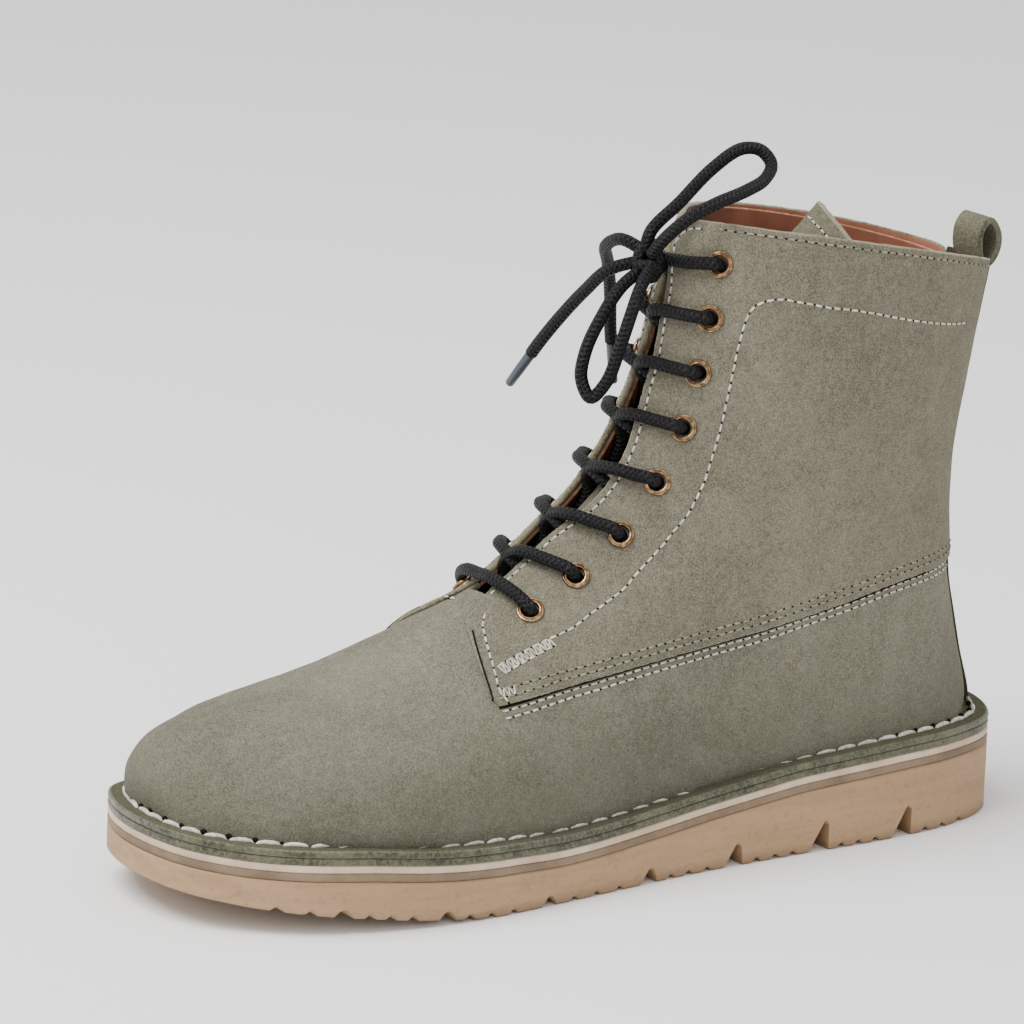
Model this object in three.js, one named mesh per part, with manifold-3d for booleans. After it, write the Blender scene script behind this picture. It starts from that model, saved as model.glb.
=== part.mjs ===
// A left lace-up suede ankle boot with a stitched-down welt and a wedge sole.
// Millimetres, +Z up, toe towards -Y, outer (lateral) side towards +X, floor at z = 0.
import * as THREE from "three";
import { mergeVertices } from "three/addons/utils/BufferGeometryUtils.js";
import Module from "manifold-3d";

const wasm = await Module();
wasm.setup();

// Driving sizes of the sole
const SOLE_LENGTH = 300;
const BALL_WIDTH = 104;
const FOREFOOT_THICKNESS = 11.4;
const HEEL_LIFT = 10.5;
const TOE_SPRING = 10.8;
const WELT_THICKNESS = 2;
const RUNNER_THICKNESS = 1.9;
const MIDSOLE_THICKNESS = 2.3;
const LAYER_GAP = 0.3;

// How far the last's form runs down into the sole before the sole's top cuts it off
const FOOT_DEPTH = 4;

// Driving sizes of the upper
const UPPER_HEIGHT = 178.4;
const WALL = 2;
const OVERLAY = 1.3;
const FLANGE_THICKNESS = 2;
const FLANGE_WIDTH = 6.5;
const CLEARANCE = 0.3;

// Driving sizes of the throat, its eyelets and its lace
const THROAT_GAP = 19;
const EYELET_REACH = 20;
const EYELET_OUTER_RADIUS = 3.8;
const EYELET_HOLE_RADIUS = 2.3;
const EYELET_BARREL_RADIUS = 2.9;
const EYELET_RIM = 0.9;
const LACE_DIAMETER = 4;

// Driving sizes of the small pieces
const INSOLE_THICKNESS = 2.5;
const INSOLE_MARGIN = 3;
const TONGUE_THICKNESS = 2.5;
const TONGUE_WIDTH = 62;
const BACKSTAY_WIDTH = 14;
const BACKSTAY_THICKNESS = 1.6;
const LOOP_WIDTH = 20;
const LOOP_HEIGHT = 18;
const LOOP_DEPTH = 12.2;
const LOOP_THICKNESS = 2;
const AGLET_LENGTH = 14;
const AGLET_DIAMETER = 3.2;

const COLOURS = {
  suede: 0x74745f,
  lining: 0x9c5f45,
  cream: 0xdccabb,
  brown: 0x94806f,
  tan: 0xb89b7c,
  brass: 0xa58258,
  black: 0x1c1c1f,
  aglet: 0x30343c,
};

// Sole outline. place: share of the length from toe to heel; lateral, medial: shares of the ball width
const OUTLINE = [
  { place: 0.0, lateral: -0.055, medial: -0.055 },
  { place: 0.01, lateral: 0.13, medial: -0.235 },
  { place: 0.04, lateral: 0.262, medial: -0.38 },
  { place: 0.107, lateral: 0.405, medial: -0.468 },
  { place: 0.2, lateral: 0.484, medial: -0.5 },
  { place: 0.3, lateral: 0.5, medial: -0.49 },
  { place: 0.42, lateral: 0.462, medial: -0.447 },
  { place: 0.55, lateral: 0.414, medial: -0.388 },
  { place: 0.68, lateral: 0.394, medial: -0.358 },
  { place: 0.8, lateral: 0.386, medial: -0.362 },
  { place: 0.9, lateral: 0.346, medial: -0.336 },
  { place: 0.97, lateral: 0.236, medial: -0.23 },
  { place: 1.0, lateral: 0.0, medial: 0.0 },
];

// Rise of the tread (share of the toe spring) and of the wedge (share of the heel lift) along the length
const PROFILE = [
  { place: 0.0, spring: 1.0, wedge: -0.32 },
  { place: 0.06, spring: 0.74, wedge: -0.22 },
  { place: 0.167, spring: 0.4, wedge: 0.0 },
  { place: 0.25, spring: 0.14, wedge: 0.05 },
  { place: 0.31, spring: 0.0, wedge: 0.1 },
  { place: 0.4, spring: 0.0, wedge: 0.02 },
  { place: 0.5, spring: 0.0, wedge: 0.2 },
  { place: 0.6, spring: 0.0, wedge: 0.5 },
  { place: 0.7, spring: 0.0, wedge: 0.8 },
  { place: 0.83, spring: 0.0, wedge: 0.98 },
  { place: 1.0, spring: 0.0, wedge: 1.0 },
];

// Grooves across the tread. place: share of the length; depth, width: mm; lean: how far the root runs to the heel
const GROOVES = [
  { place: 0.082, depth: 1.4, width: 3, lean: 0 },
  { place: 0.111, depth: 1.4, width: 3, lean: 0 },
  { place: 0.141, depth: 2.4, width: 5, lean: 0 },
  { place: 0.167, depth: 1.3, width: 3, lean: 0 },
  { place: 0.188, depth: 1.3, width: 3, lean: 0 },
  { place: 0.211, depth: 1.3, width: 3, lean: 0 },
  { place: 0.248, depth: 2.6, width: 5, lean: 0 },
  { place: 0.274, depth: 1.3, width: 3, lean: 0 },
  { place: 0.299, depth: 1.3, width: 3, lean: 0 },
  { place: 0.326, depth: 1.3, width: 3, lean: 0 },
  { place: 0.371, depth: 3, width: 5, lean: 0 },
  { place: 0.403, depth: 1.3, width: 3, lean: 0 },
  { place: 0.432, depth: 1.3, width: 3, lean: 0 },
  { place: 0.462, depth: 1.3, width: 3, lean: 0 },
  { place: 0.499, depth: 4.6, width: 6, lean: 1 },
  { place: 0.53, depth: 1.3, width: 3, lean: 0 },
  { place: 0.553, depth: 1.3, width: 3, lean: 0 },
  { place: 0.577, depth: 1.3, width: 3, lean: 0 },
  { place: 0.608, depth: 7, width: 6.5, lean: 2 },
  { place: 0.64, depth: 1.4, width: 3.2, lean: 0 },
  { place: 0.664, depth: 1.4, width: 3.2, lean: 0 },
  { place: 0.686, depth: 1.4, width: 3.2, lean: 0 },
  { place: 0.716, depth: 9.3, width: 7, lean: 3 },
  { place: 0.748, depth: 1.4, width: 3.2, lean: 0 },
  { place: 0.77, depth: 1.4, width: 3.2, lean: 0 },
  { place: 0.792, depth: 1.4, width: 3.2, lean: 0 },
  { place: 0.824, depth: 9.6, width: 7, lean: 3 },
  { place: 0.86, depth: 1.4, width: 3.2, lean: 0 },
  { place: 0.885, depth: 1.4, width: 3.2, lean: 0 },
  { place: 0.912, depth: 1.4, width: 3.2, lean: 0 },
];

// Sections of the last, tilting from upright at the toe to nearly level at the collar.
// front, back: shares of the sole length; crown, foot: shares of the upper height above the seat
// (no foot: the section stands on the sole); lateral, medial: half widths, ridge, base: middle
// of the section at its crown and foot, shares of the ball width; full, heel: roundness of its front
// and back half, 1 is an ellipse and less is fuller; bow: rise of its sides, share of the upper height
const SECTIONS = [
  {
    front: 0.017, crown: 0.098, back: 0.017, foot: 0.098, lateral: 0, medial: 0,
    ridge: -0.067, base: -0.067, full: 0.92, heel: 0.92, bow: 0,
  },
  {
    front: 0.021, crown: 0.131, back: 0.021, foot: 0.058, lateral: 0.115, medial: 0.12,
    ridge: -0.067, base: -0.067, full: 0.92, heel: 0.92, bow: 0,
  },
  {
    front: 0.035, crown: 0.159, back: 0.03, lateral: 0.202, medial: 0.202,
    ridge: -0.067, base: -0.067, full: 0.92, heel: 0.92, bow: 0,
  },
  {
    front: 0.065, crown: 0.188, back: 0.06, lateral: 0.298, medial: 0.288,
    ridge: -0.067, base: -0.062, full: 0.94, heel: 0.92, bow: 0,
  },
  {
    front: 0.11, crown: 0.212, back: 0.11, lateral: 0.404, medial: 0.365,
    ridge: -0.067, base: -0.043, full: 0.96, heel: 0.92, bow: 0,
  },
  {
    front: 0.173, crown: 0.232, back: 0.177, lateral: 0.471, medial: 0.409,
    ridge: -0.058, base: -0.029, full: 0.96, heel: 0.92, bow: 0,
  },
  {
    front: 0.24, crown: 0.26, back: 0.257, lateral: 0.49, medial: 0.418,
    ridge: -0.053, base: -0.019, full: 0.96, heel: 0.9, bow: 0,
  },
  {
    front: 0.297, crown: 0.295, back: 0.347, lateral: 0.471, medial: 0.409,
    ridge: -0.038, base: -0.014, full: 0.96, heel: 0.88, bow: 0,
  },
  {
    front: 0.345, crown: 0.333, back: 0.44, lateral: 0.438, medial: 0.385,
    ridge: -0.014, base: -0.01, full: 0.96, heel: 0.84, bow: 0,
  },
  {
    front: 0.39, crown: 0.373, back: 0.54, lateral: 0.399, medial: 0.361,
    ridge: 0.005, base: 0, full: 0.96, heel: 0.8, bow: 0,
  },
  {
    front: 0.428, crown: 0.42, back: 0.64, lateral: 0.375, medial: 0.346,
    ridge: 0.014, base: 0.01, full: 0.97, heel: 0.76, bow: 0,
  },
  {
    front: 0.462, crown: 0.471, back: 0.74, lateral: 0.361, medial: 0.341,
    ridge: 0.019, base: 0.01, full: 0.99, heel: 0.73, bow: 0,
  },
  {
    front: 0.493, crown: 0.52, back: 0.833, lateral: 0.351, medial: 0.337,
    ridge: 0.024, base: 0.005, full: 1.01, heel: 0.71, bow: 0.002,
  },
  {
    front: 0.519, crown: 0.572, back: 0.91, lateral: 0.346, medial: 0.337,
    ridge: 0.024, base: 0, full: 1.03, heel: 0.7, bow: 0.004,
  },
  {
    front: 0.539, crown: 0.62, back: 0.955, lateral: 0.341, medial: 0.332,
    ridge: 0.024, base: 0, full: 1.05, heel: 0.7, bow: 0.006,
  },
  {
    front: 0.555, crown: 0.673, back: 0.97, foot: 0.067, lateral: 0.337, medial: 0.332,
    ridge: 0.024, base: 0, full: 1.06, heel: 0.71, bow: 0.009,
  },
  {
    front: 0.569, crown: 0.734, back: 0.955, foot: 0.17, lateral: 0.337, medial: 0.332,
    ridge: 0.024, base: 0, full: 1.06, heel: 0.73, bow: 0.012,
  },
  {
    front: 0.581, crown: 0.798, back: 0.935, foot: 0.322, lateral: 0.332, medial: 0.327,
    ridge: 0.024, base: 0, full: 1.06, heel: 0.75, bow: 0.015,
  },
  {
    front: 0.592, crown: 0.86, back: 0.931, foot: 0.496, lateral: 0.327, medial: 0.322,
    ridge: 0.024, base: 0, full: 1.06, heel: 0.77, bow: 0.018,
  },
  {
    front: 0.603, crown: 0.919, back: 0.948, foot: 0.669, lateral: 0.322, medial: 0.317,
    ridge: 0.024, base: 0, full: 1.06, heel: 0.78, bow: 0.02,
  },
  {
    front: 0.62, crown: 0.971, back: 0.968, foot: 0.862, lateral: 0.317, medial: 0.317,
    ridge: 0.024, base: 0, full: 1.06, heel: 0.78, bow: 0.021,
  },
];
const COLLAR = SECTIONS.length - 1;

// How the throat runs: section numbers of its lower end and of the overlay's tabs
const THROAT_START = 8.8;
const TAB_START = 7.2;

// Eyelets from the collar down. section: where along the last; reach: share of the reach from the crown line
const EYELETS = [
  { section: 18.95, reach: 0.77 },
  { section: 17.65, reach: 0.855 },
  { section: 16.35, reach: 0.905 },
  { section: 14.95, reach: 0.95 },
  { section: 13.2, reach: 0.97 },
  { section: 11.6, reach: 1.01 },
  { section: 10.25, reach: 1 },
  { section: 9.05, reach: 0.985 },
];

// Opening of the throat from the tabs up to the collar, share of its widest
const THROAT_WIDTHS = [
  { place: 0, open: 0.6 },
  { place: 0.2, open: 0.88 },
  { place: 0.4, open: 1 },
  { place: 0.6, open: 0.84 },
  { place: 0.8, open: 0.54 },
  { place: 1, open: 0.32 },
];

// Lower and front edge of the quarter overlay in side view. place: share of the length; height: share of
// the upper height above the seat
const QUARTER_EDGE = [
  { place: 0.38, height: 0.52 },
  { place: 0.373, height: 0.378 },
  { place: 0.351, height: 0.34 },
  { place: 0.335, height: 0.295 },
  { place: 0.331, height: 0.259 },
  { place: 0.334, height: 0.234 },
  { place: 0.451, height: 0.259 },
  { place: 0.571, height: 0.282 },
  { place: 0.692, height: 0.312 },
  { place: 0.816, height: 0.35 },
  { place: 0.872, height: 0.358 },
  { place: 1.05, height: 0.366 },
];

// Finer steps of the surfaces
const ROW_STEPS = 1.3;
const SIDE_STEPS = 8;
const OUTLINE_STEPS = 3;
const ROUND_STEPS = 8;
const LACE_SIDES = 6;

const SIDES = ["lateral", "medial"];

// Derived values
const HALF_LENGTH = SOLE_LENGTH / 2;
const LACE_RADIUS = LACE_DIAMETER / 2;
const RUNNER_TOP_DROP = WELT_THICKNESS + LAYER_GAP;
const MIDSOLE_TOP_DROP = RUNNER_TOP_DROP + RUNNER_THICKNESS + LAYER_GAP;
const OUTSOLE_TOP_DROP = MIDSOLE_TOP_DROP + MIDSOLE_THICKNESS + LAYER_GAP;

// Smooth interpolation of one column of a table by row number
function column(rows, key, place, fold = null) {
  const last = rows.length - 1;
  const index = Math.min(Math.max(Math.floor(place), 0), last - 1);
  const share = place - index;
  const read = (i) => {
    if (i < 0) return fold ? rows[-i][fold] : 2 * rows[0][key] - rows[-i][key];
    if (i > last) return fold ? rows[2 * last - i][fold] : 2 * rows[last][key] - rows[2 * last - i][key];
    return rows[i][key];
  };
  const [a, b, c, d] = [read(index - 1), read(index), read(index + 1), read(index + 2)];
  const square = share * share;
  const cube = square * share;
  return 0.5 * (2 * b + (c - a) * share + (2 * a - 5 * b + 4 * c - d) * square + (3 * b - a - 3 * c + d) * cube);
}

// Value of a column at a place along the length
function along(rows, key, place) {
  const last = rows.length - 1;
  let index = 0;
  while (index < last - 1 && rows[index + 1].place < place) index += 1;
  const step = rows[index + 1].place - rows[index].place;
  const share = Math.min(Math.max((place - rows[index].place) / step, 0), 1);
  return column(rows, key, index + share);
}

const placeOf = (y) => (y + HALF_LENGTH) / SOLE_LENGTH;
const treadHeight = (y) => Math.max(TOE_SPRING * along(PROFILE, "spring", placeOf(y)), 0);

function outsoleTop(y) {
  return treadHeight(y) + FOREFOOT_THICKNESS + HEEL_LIFT * along(PROFILE, "wedge", placeOf(y));
}

const soleTop = (y) => outsoleTop(y) + OUTSOLE_TOP_DROP;
const SEAT = soleTop(-HALF_LENGTH / 3);

// Outline point at a row number of the table, moved inwards by an inset
function outlinePoint(row, side, inset = 0) {
  const other = side === "lateral" ? "medial" : "lateral";
  const at = (r) => new THREE.Vector2(
    BALL_WIDTH * column(OUTLINE, side, r, other),
    SOLE_LENGTH * column(OUTLINE, "place", r, "place") - HALF_LENGTH,
  );
  const step = 0.02;
  const point = at(row);
  if (inset === 0) return point;
  const before = at(Math.max(row - step, -0.5));
  const after = at(Math.min(row + step, OUTLINE.length - 0.5));
  const run = after.sub(before).normalize();
  const turn = side === "lateral" ? 1 : -1;
  return point.add(new THREE.Vector2(-run.y * turn, run.x * turn).multiplyScalar(inset));
}

const OUTLINE_ROWS = [];
for (let i = 0; i <= (OUTLINE.length - 1) * OUTLINE_STEPS; i += 1) OUTLINE_ROWS.push(i / OUTLINE_STEPS);

// Half width of the inset outline on one side at a place along the shoe
function insetX(y, side, inset) {
  let previous = null;
  for (const row of OUTLINE_ROWS) {
    const point = outlinePoint(row, side, inset);
    if (previous && previous.y <= y && point.y >= y) {
      const share = (y - previous.y) / (point.y - previous.y);
      return previous.x + (point.x - previous.x) * share;
    }
    previous = point;
  }
  return null;
}

// Closed mesh through rows of points, each row a closed ring, with flat ends
function skin(rows) {
  const vertices = [];
  const indices = [];
  const count = rows[0].length;
  rows.flat().forEach((p) => vertices.push(p.x, p.y, p.z));
  for (let r = 0; r < rows.length - 1; r += 1) {
    for (let i = 0; i < count; i += 1) {
      const a = r * count + i;
      const b = r * count + ((i + 1) % count);
      indices.push(a, b, b + count, a, b + count, a + count);
    }
  }
  const lastRow = (rows.length - 1) * count;
  for (let i = 1; i < Math.ceil(count / 2); i += 1) {
    const j = count - i;
    indices.push(...[i, i - 1, j % count, i, j % count, j - 1]);
    indices.push(...[i - 1, i, j % count, i, j - 1, j % count].map((n) => n + lastRow));
  }
  const geometry = new THREE.BufferGeometry();
  geometry.setAttribute("position", new THREE.Float32BufferAttribute(vertices, 3));
  geometry.setIndex(indices);
  return geometry;
}

// Merged, closed geometry as a solid for joins and cuts
function solid(geometry) {
  const bare = geometry.clone();
  bare.deleteAttribute("normal");
  bare.deleteAttribute("uv");
  const merged = mergeVertices(bare, 1e-4);
  const positions = merged.getAttribute("position").array;
  const kept = [];
  const index = merged.getIndex().array;
  let volume = 0;
  for (let i = 0; i < index.length; i += 3) {
    const [a, b, c] = [index[i], index[i + 1], index[i + 2]];
    if (a === b || b === c || a === c) continue;
    kept.push(a, b, c);
    const [p, q, r] = [a, b, c].map((n) => new THREE.Vector3().fromArray(positions, n * 3));
    volume += p.dot(q.cross(r));
  }
  if (volume < 0) {
    for (let i = 0; i < kept.length; i += 3) [kept[i], kept[i + 1]] = [kept[i + 1], kept[i]];
  }
  return new wasm.Manifold(new wasm.Mesh({
    numProp: 3,
    vertProperties: new Float32Array(positions),
    triVerts: new Uint32Array(kept),
  }));
}

// Named mesh of a finished solid, without specks that cuts leave
function piece(name, body, colour, roughness = 0.9, metalness = 0) {
  const parts = body.decompose().sort((p, q) => q.volume() - p.volume());
  const mesh = parts[0].getMesh();
  const geometry = new THREE.BufferGeometry();
  geometry.setAttribute("position", new THREE.BufferAttribute(Float32Array.from(mesh.vertProperties), 3));
  geometry.setIndex(new THREE.BufferAttribute(Uint32Array.from(mesh.triVerts), 1));
  geometry.computeVertexNormals();
  const material = new THREE.MeshStandardMaterial({ color: colour, roughness, metalness });
  const result = new THREE.Mesh(geometry, material);
  result.name = name;
  return result;
}

// Plate that follows the sole between two heights
function plate(bottom, top, inset = 0) {
  const rows = OUTLINE_ROWS.map((row) => {
    const sides = SIDES.map((side) => outlinePoint(row, side, inset));
    const end = row === 0 || row === OUTLINE.length - 1;
    const medial = end ? sides[0] : sides[1];
    return [
      new THREE.Vector3(sides[0].x, sides[0].y, bottom(sides[0].y)),
      new THREE.Vector3(sides[0].x, sides[0].y, top(sides[0].y)),
      new THREE.Vector3(medial.x, medial.y, top(medial.y)),
      new THREE.Vector3(medial.x, medial.y, bottom(medial.y)),
    ];
  });
  return solid(skin(rows));
}

// Numeric sections with their places in mm
const LAST = SECTIONS.map((s) => {
  const back = s.back * SOLE_LENGTH - HALF_LENGTH;
  const onSole = s.foot === undefined;
  const base = s.base * BALL_WIDTH;
  const lateral = s.lateral * BALL_WIDTH;
  const medial = s.medial * BALL_WIDTH;
  const outer = onSole ? insetX(back, "lateral", FLANGE_WIDTH) : null;
  const inner = onSole ? insetX(back, "medial", FLANGE_WIDTH) : null;
  return {
    frontY: s.front * SOLE_LENGTH - HALF_LENGTH,
    frontZ: s.crown * UPPER_HEIGHT + SEAT,
    backY: back,
    backZ: onSole ? soleTop(back) - FOOT_DEPTH : s.foot * UPPER_HEIGHT + SEAT,
    lateral,
    medial,
    lateralFoot: outer === null ? 0 : Math.min(outer - base, lateral),
    medialFoot: inner === null ? 0 : Math.min(base - inner, medial),
    ridge: s.ridge * BALL_WIDTH,
    base,
    full: s.full,
    heel: s.heel,
    bow: s.bow * UPPER_HEIGHT,
  };
});

// Point of the last's surface at a section number; turn goes from 0 at the crown to 1 at the foot
function surface(section, side, turn) {
  const get = (key) => column(LAST, key, section);
  const width = Math.max(get(side), 0.01);
  const foot = Math.min(Math.max(get(`${side}Foot`) / width, 0), 1);
  const end = Math.PI - Math.asin(foot ** (1 / get("heel")));
  const angle = end * turn;
  const depth = (1 - Math.cos(angle)) / (1 - Math.cos(end));
  const sign = side === "lateral" ? 1 : -1;
  const middle = get("ridge") + (get("base") - get("ridge")) * depth;
  const swing = Math.max(Math.sin(angle), 0);
  return new THREE.Vector3(
    middle + sign * width * swing ** get(angle < Math.PI / 2 ? "full" : "heel"),
    get("frontY") + (get("backY") - get("frontY")) * depth,
    get("frontZ") + (get("backZ") - get("frontZ")) * depth + get("bow") * swing,
  );
}

// Outward direction of the surface
function outward(section, side, turn) {
  if (section < 0.05) return new THREE.Vector3(0, -1, 0);
  const step = 0.02;
  const low = Math.max(turn - step, 0.001);
  const high = Math.min(turn + step, 0.999);
  const along = surface(section + step, side, turn).sub(surface(section - step, side, turn));
  const around = surface(section, side, high).sub(surface(section, side, low));
  const normal = side === "lateral" ? around.cross(along) : along.cross(around);
  if (turn < 0.001 || turn > 0.999) normal.x = turn > 0.5 && column(LAST, `${side}Foot`, section) > 1 ? normal.x : 0;
  return normal.normalize();
}

const shifted = (section, side, turn, distance) =>
  surface(section, side, turn).add(outward(section, side, turn).multiplyScalar(distance));

// The last as a closed form, moved out or in by a distance, from one section number to another
function form(distance, from = 0, to = COLLAR) {
  const rows = [];
  const steps = Math.round((to - from) * ROW_STEPS);
  for (let i = 0; i <= steps; i += 1) {
    const section = from + (i * (to - from)) / steps;
    const ring = [];
    for (let j = 0; j <= SIDE_STEPS; j += 1) ring.push(shifted(section, "lateral", j / SIDE_STEPS, distance));
    for (let j = SIDE_STEPS; j > 0; j -= 1) ring.push(shifted(section, "medial", j / SIDE_STEPS, distance));
    const open = column(LAST, "lateralFoot", section) > 1;
    if (!open) ring[SIDE_STEPS + 1].copy(ring[SIDE_STEPS]);
    rows.push(ring);
  }
  return solid(skin(rows));
}

// Turn at which a section has run a distance round from its crown
function turnAt(section, side, distance) {
  const step = 0.01;
  let run = 0;
  let turn = 0;
  let point = surface(section, side, 0);
  while (run < distance) {
    const next = surface(section, side, turn + step);
    const length = next.distanceTo(point);
    if (run + length >= distance) return turn + (step * (distance - run)) / length;
    run += length;
    turn += step;
    point = next;
  }
  return turn;
}

// Half of the throat's opening at a section number
function halfGap(section) {
  const share = Math.min(Math.max((section - TAB_START) / (COLLAR - TAB_START), 0), 1);
  return (THROAT_GAP / 2) * along(THROAT_WIDTHS, "open", share);
}

// Wedge that opens the throat between two edges along the crown
function throatCut(from, outside, inside) {
  const rows = [];
  for (let section = from; section <= COLLAR + 1.01; section += 0.5) {
    const crown = surface(section, "lateral", 0);
    const normal = outward(section, "lateral", 0);
    const half = halfGap(section);
    const corner = (x, depth) => crown.clone().add(normal.clone().multiplyScalar(depth)).setX(crown.x + x);
    rows.push([corner(half, -inside), corner(half, outside), corner(-half, outside), corner(-half, -inside)]);
  }
  return solid(skin(rows));
}

// Prism across the shoe from a closed line of (y, z) points
function prism(points, from, to) {
  const shape = new THREE.Shape(points.map((p) => new THREE.Vector2(p.x, p.y)));
  const geometry = new THREE.ExtrudeGeometry(shape, { depth: to - from, bevelEnabled: false, curveSegments: 8 });
  geometry.applyMatrix4(new THREE.Matrix4().set(0, 0, 1, from, 1, 0, 0, 0, 0, 1, 0, 0, 0, 0, 0, 1));
  return solid(geometry);
}

// Tube along a line of points, with rounded corners at its ends left plain
function tube(points, radius = LACE_RADIUS, spacing = 3.4, sides = LACE_SIDES) {
  const curve = new THREE.CatmullRomCurve3(points, false, "centripetal");
  const circle = new THREE.Shape();
  circle.absarc(0, 0, radius, 0, Math.PI * 2);
  const steps = Math.max(1, Math.round(curve.getLength() / (spacing * radius)));
  const geometry = new THREE.ExtrudeGeometry(circle, {
    steps,
    curveSegments: sides / 2,
    extrudePath: curve,
    bevelEnabled: false,
  });
  return solid(geometry);
}

// Upper: the vamp form and the thicker quarter form, hollowed, opened and stitched down on a flange
function quarterRegion() {
  const line = QUARTER_EDGE.map((p) => new THREE.Vector2(
    p.place * SOLE_LENGTH - HALF_LENGTH,
    p.height * UPPER_HEIGHT + SEAT,
  ));
  const top = SEAT + UPPER_HEIGHT * 1.2;
  line.push(new THREE.Vector2(HALF_LENGTH * 1.2, top), new THREE.Vector2(line[0].x, top));
  return prism(line, -BALL_WIDTH, BALL_WIDTH);
}

function eyeletSeat({ section, reach }, side) {
  const turn = turnAt(section, side, EYELET_REACH * reach);
  return { section, point: shifted(section, side, turn, OVERLAY), normal: outward(section, side, turn) };
}

// Ring of revolution set on the surface at a seat
function turned(profile, seat) {
  const points = profile.map(([radius, height]) => new THREE.Vector2(radius, height));
  points.push(points[0].clone());
  const geometry = new THREE.LatheGeometry(points, ROUND_STEPS);
  const spin = new THREE.Quaternion().setFromUnitVectors(new THREE.Vector3(0, 1, 0), seat.normal);
  geometry.applyQuaternion(spin);
  geometry.translate(seat.point.x, seat.point.y, seat.point.z);
  return solid(geometry);
}

function eyelet(seat) {
  const low = -(WALL + OVERLAY);
  const high = CLEARANCE + EYELET_RIM;
  return turned([
    [EYELET_HOLE_RADIUS, low],
    [EYELET_BARREL_RADIUS, low],
    [EYELET_BARREL_RADIUS, CLEARANCE],
    [EYELET_OUTER_RADIUS, CLEARANCE],
    [EYELET_OUTER_RADIUS - 0.5, high],
    [EYELET_HOLE_RADIUS, high],
  ], seat);
}

function eyeletHole(seat) {
  const radius = EYELET_BARREL_RADIUS + CLEARANCE;
  const reach = WALL + OVERLAY + 3;
  return turned([[0, -reach], [radius, -reach], [radius, reach], [0, reach]], seat);
}

const seats = [];
for (const side of SIDES) {
  EYELETS.forEach((row, i) => seats.push({ side, number: i + 1, ...eyeletSeat(row, side) }));
}

const flange = plate((y) => soleTop(y) + CLEARANCE, (y) => soleTop(y) + CLEARANCE + FLANGE_THICKNESS);
const ground = plate((y) => soleTop(y) - 60, (y) => soleTop(y) + CLEARANCE, -20);

function upper() {
  const overlay = form(OVERLAY).intersect(quarterRegion()).subtract(throatCut(TAB_START - 2, 12, 4));
  let body = form(0).add(overlay).add(flange);
  body = body.subtract(form(-WALL, 0, COLLAR + 0.3)).subtract(ground);
  body = body.subtract(throatCut(THROAT_START, 12, 12));
  for (const seat of seats) body = body.subtract(eyeletHole(seat));
  return body;
}

// Insole: plate on the welt inside the upper
function insole() {
  const low = (y) => soleTop(y) + CLEARANCE;
  const sheet = plate(low, (y) => low(y) + INSOLE_THICKNESS, FLANGE_WIDTH + WALL + INSOLE_MARGIN);
  return sheet.intersect(form(-WALL - INSOLE_MARGIN));
}

// Tongue: follows the throat from under the vamp and leans back at its top.
// section: where along the last; drop: mm under the surface; lean, rise: shares of the tongue's lean
const TONGUE_LEAN = 50;
const TONGUE_ROWS = [
  { section: 7, drop: 0, lean: 0, rise: 0, wide: 0.86 },
  { section: 8, drop: 0.35, lean: 0, rise: 0, wide: 0.92 },
  { section: 9, drop: 1, lean: 0, rise: 0, wide: 0.97 },
  { section: 10, drop: 1, lean: 0, rise: 0, wide: 1 },
  { section: 11, drop: 1, lean: 0, rise: 0, wide: 1 },
  { section: 12, drop: 1, lean: 0.01, rise: 0, wide: 1 },
  { section: 13, drop: 1, lean: 0.05, rise: 0, wide: 1 },
  { section: 14, drop: 1, lean: 0.12, rise: 0, wide: 1 },
  { section: 15, drop: 1, lean: 0.23, rise: 0, wide: 1 },
  { section: 16, drop: 1, lean: 0.37, rise: 0, wide: 1 },
  { section: 17, drop: 1, lean: 0.53, rise: 0, wide: 1 },
  { section: 18, drop: 1, lean: 0.7, rise: -0.01, wide: 1 },
  { section: 19, drop: 1, lean: 0.88, rise: -0.03, wide: 1 },
  { section: 19.6, drop: 1, lean: 1, rise: -0.02, wide: 1 },
];
const TONGUE_LACE_ROOM = 2.4;
const TONGUE_STEPS = 4;

function tongue() {
  const rows = TONGUE_ROWS.map((row) => {
    const room = WALL + CLEARANCE + 0.3 + row.drop * TONGUE_LACE_ROOM;
    const move = new THREE.Vector3(0, row.lean * TONGUE_LEAN, row.rise * TONGUE_LEAN);
    const face = (depth) => {
      const line = [];
      for (let i = -TONGUE_STEPS; i <= TONGUE_STEPS; i += 1) {
        const side = i < 0 ? "medial" : "lateral";
        const reach = (Math.abs(i) / TONGUE_STEPS) * (TONGUE_WIDTH / 2) * row.wide;
        const turn = turnAt(row.section, side, reach);
        line.push(shifted(row.section, side, turn, -room - depth).add(move));
      }
      return line;
    };
    return [...face(0), ...face(TONGUE_THICKNESS).reverse()];
  });
  return solid(skin(rows));
}

// Backstay: strip over the back seam
function backstay() {
  const inside = OVERLAY + 2 * CLEARANCE;
  const strip = form(inside + BACKSTAY_THICKNESS).subtract(form(inside, 0, COLLAR + 0.3));
  const low = soleTop(HALF_LENGTH) + FLANGE_THICKNESS + 2 * CLEARANCE;
  const band = [
    new THREE.Vector2(HALF_LENGTH / 2, low),
    new THREE.Vector2(HALF_LENGTH * 1.2, low),
    new THREE.Vector2(HALF_LENGTH * 1.2, SEAT + UPPER_HEIGHT),
    new THREE.Vector2(HALF_LENGTH / 2, SEAT + UPPER_HEIGHT),
  ];
  return strip.intersect(prism(band, -BACKSTAY_WIDTH / 2, BACKSTAY_WIDTH / 2));
}

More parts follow.
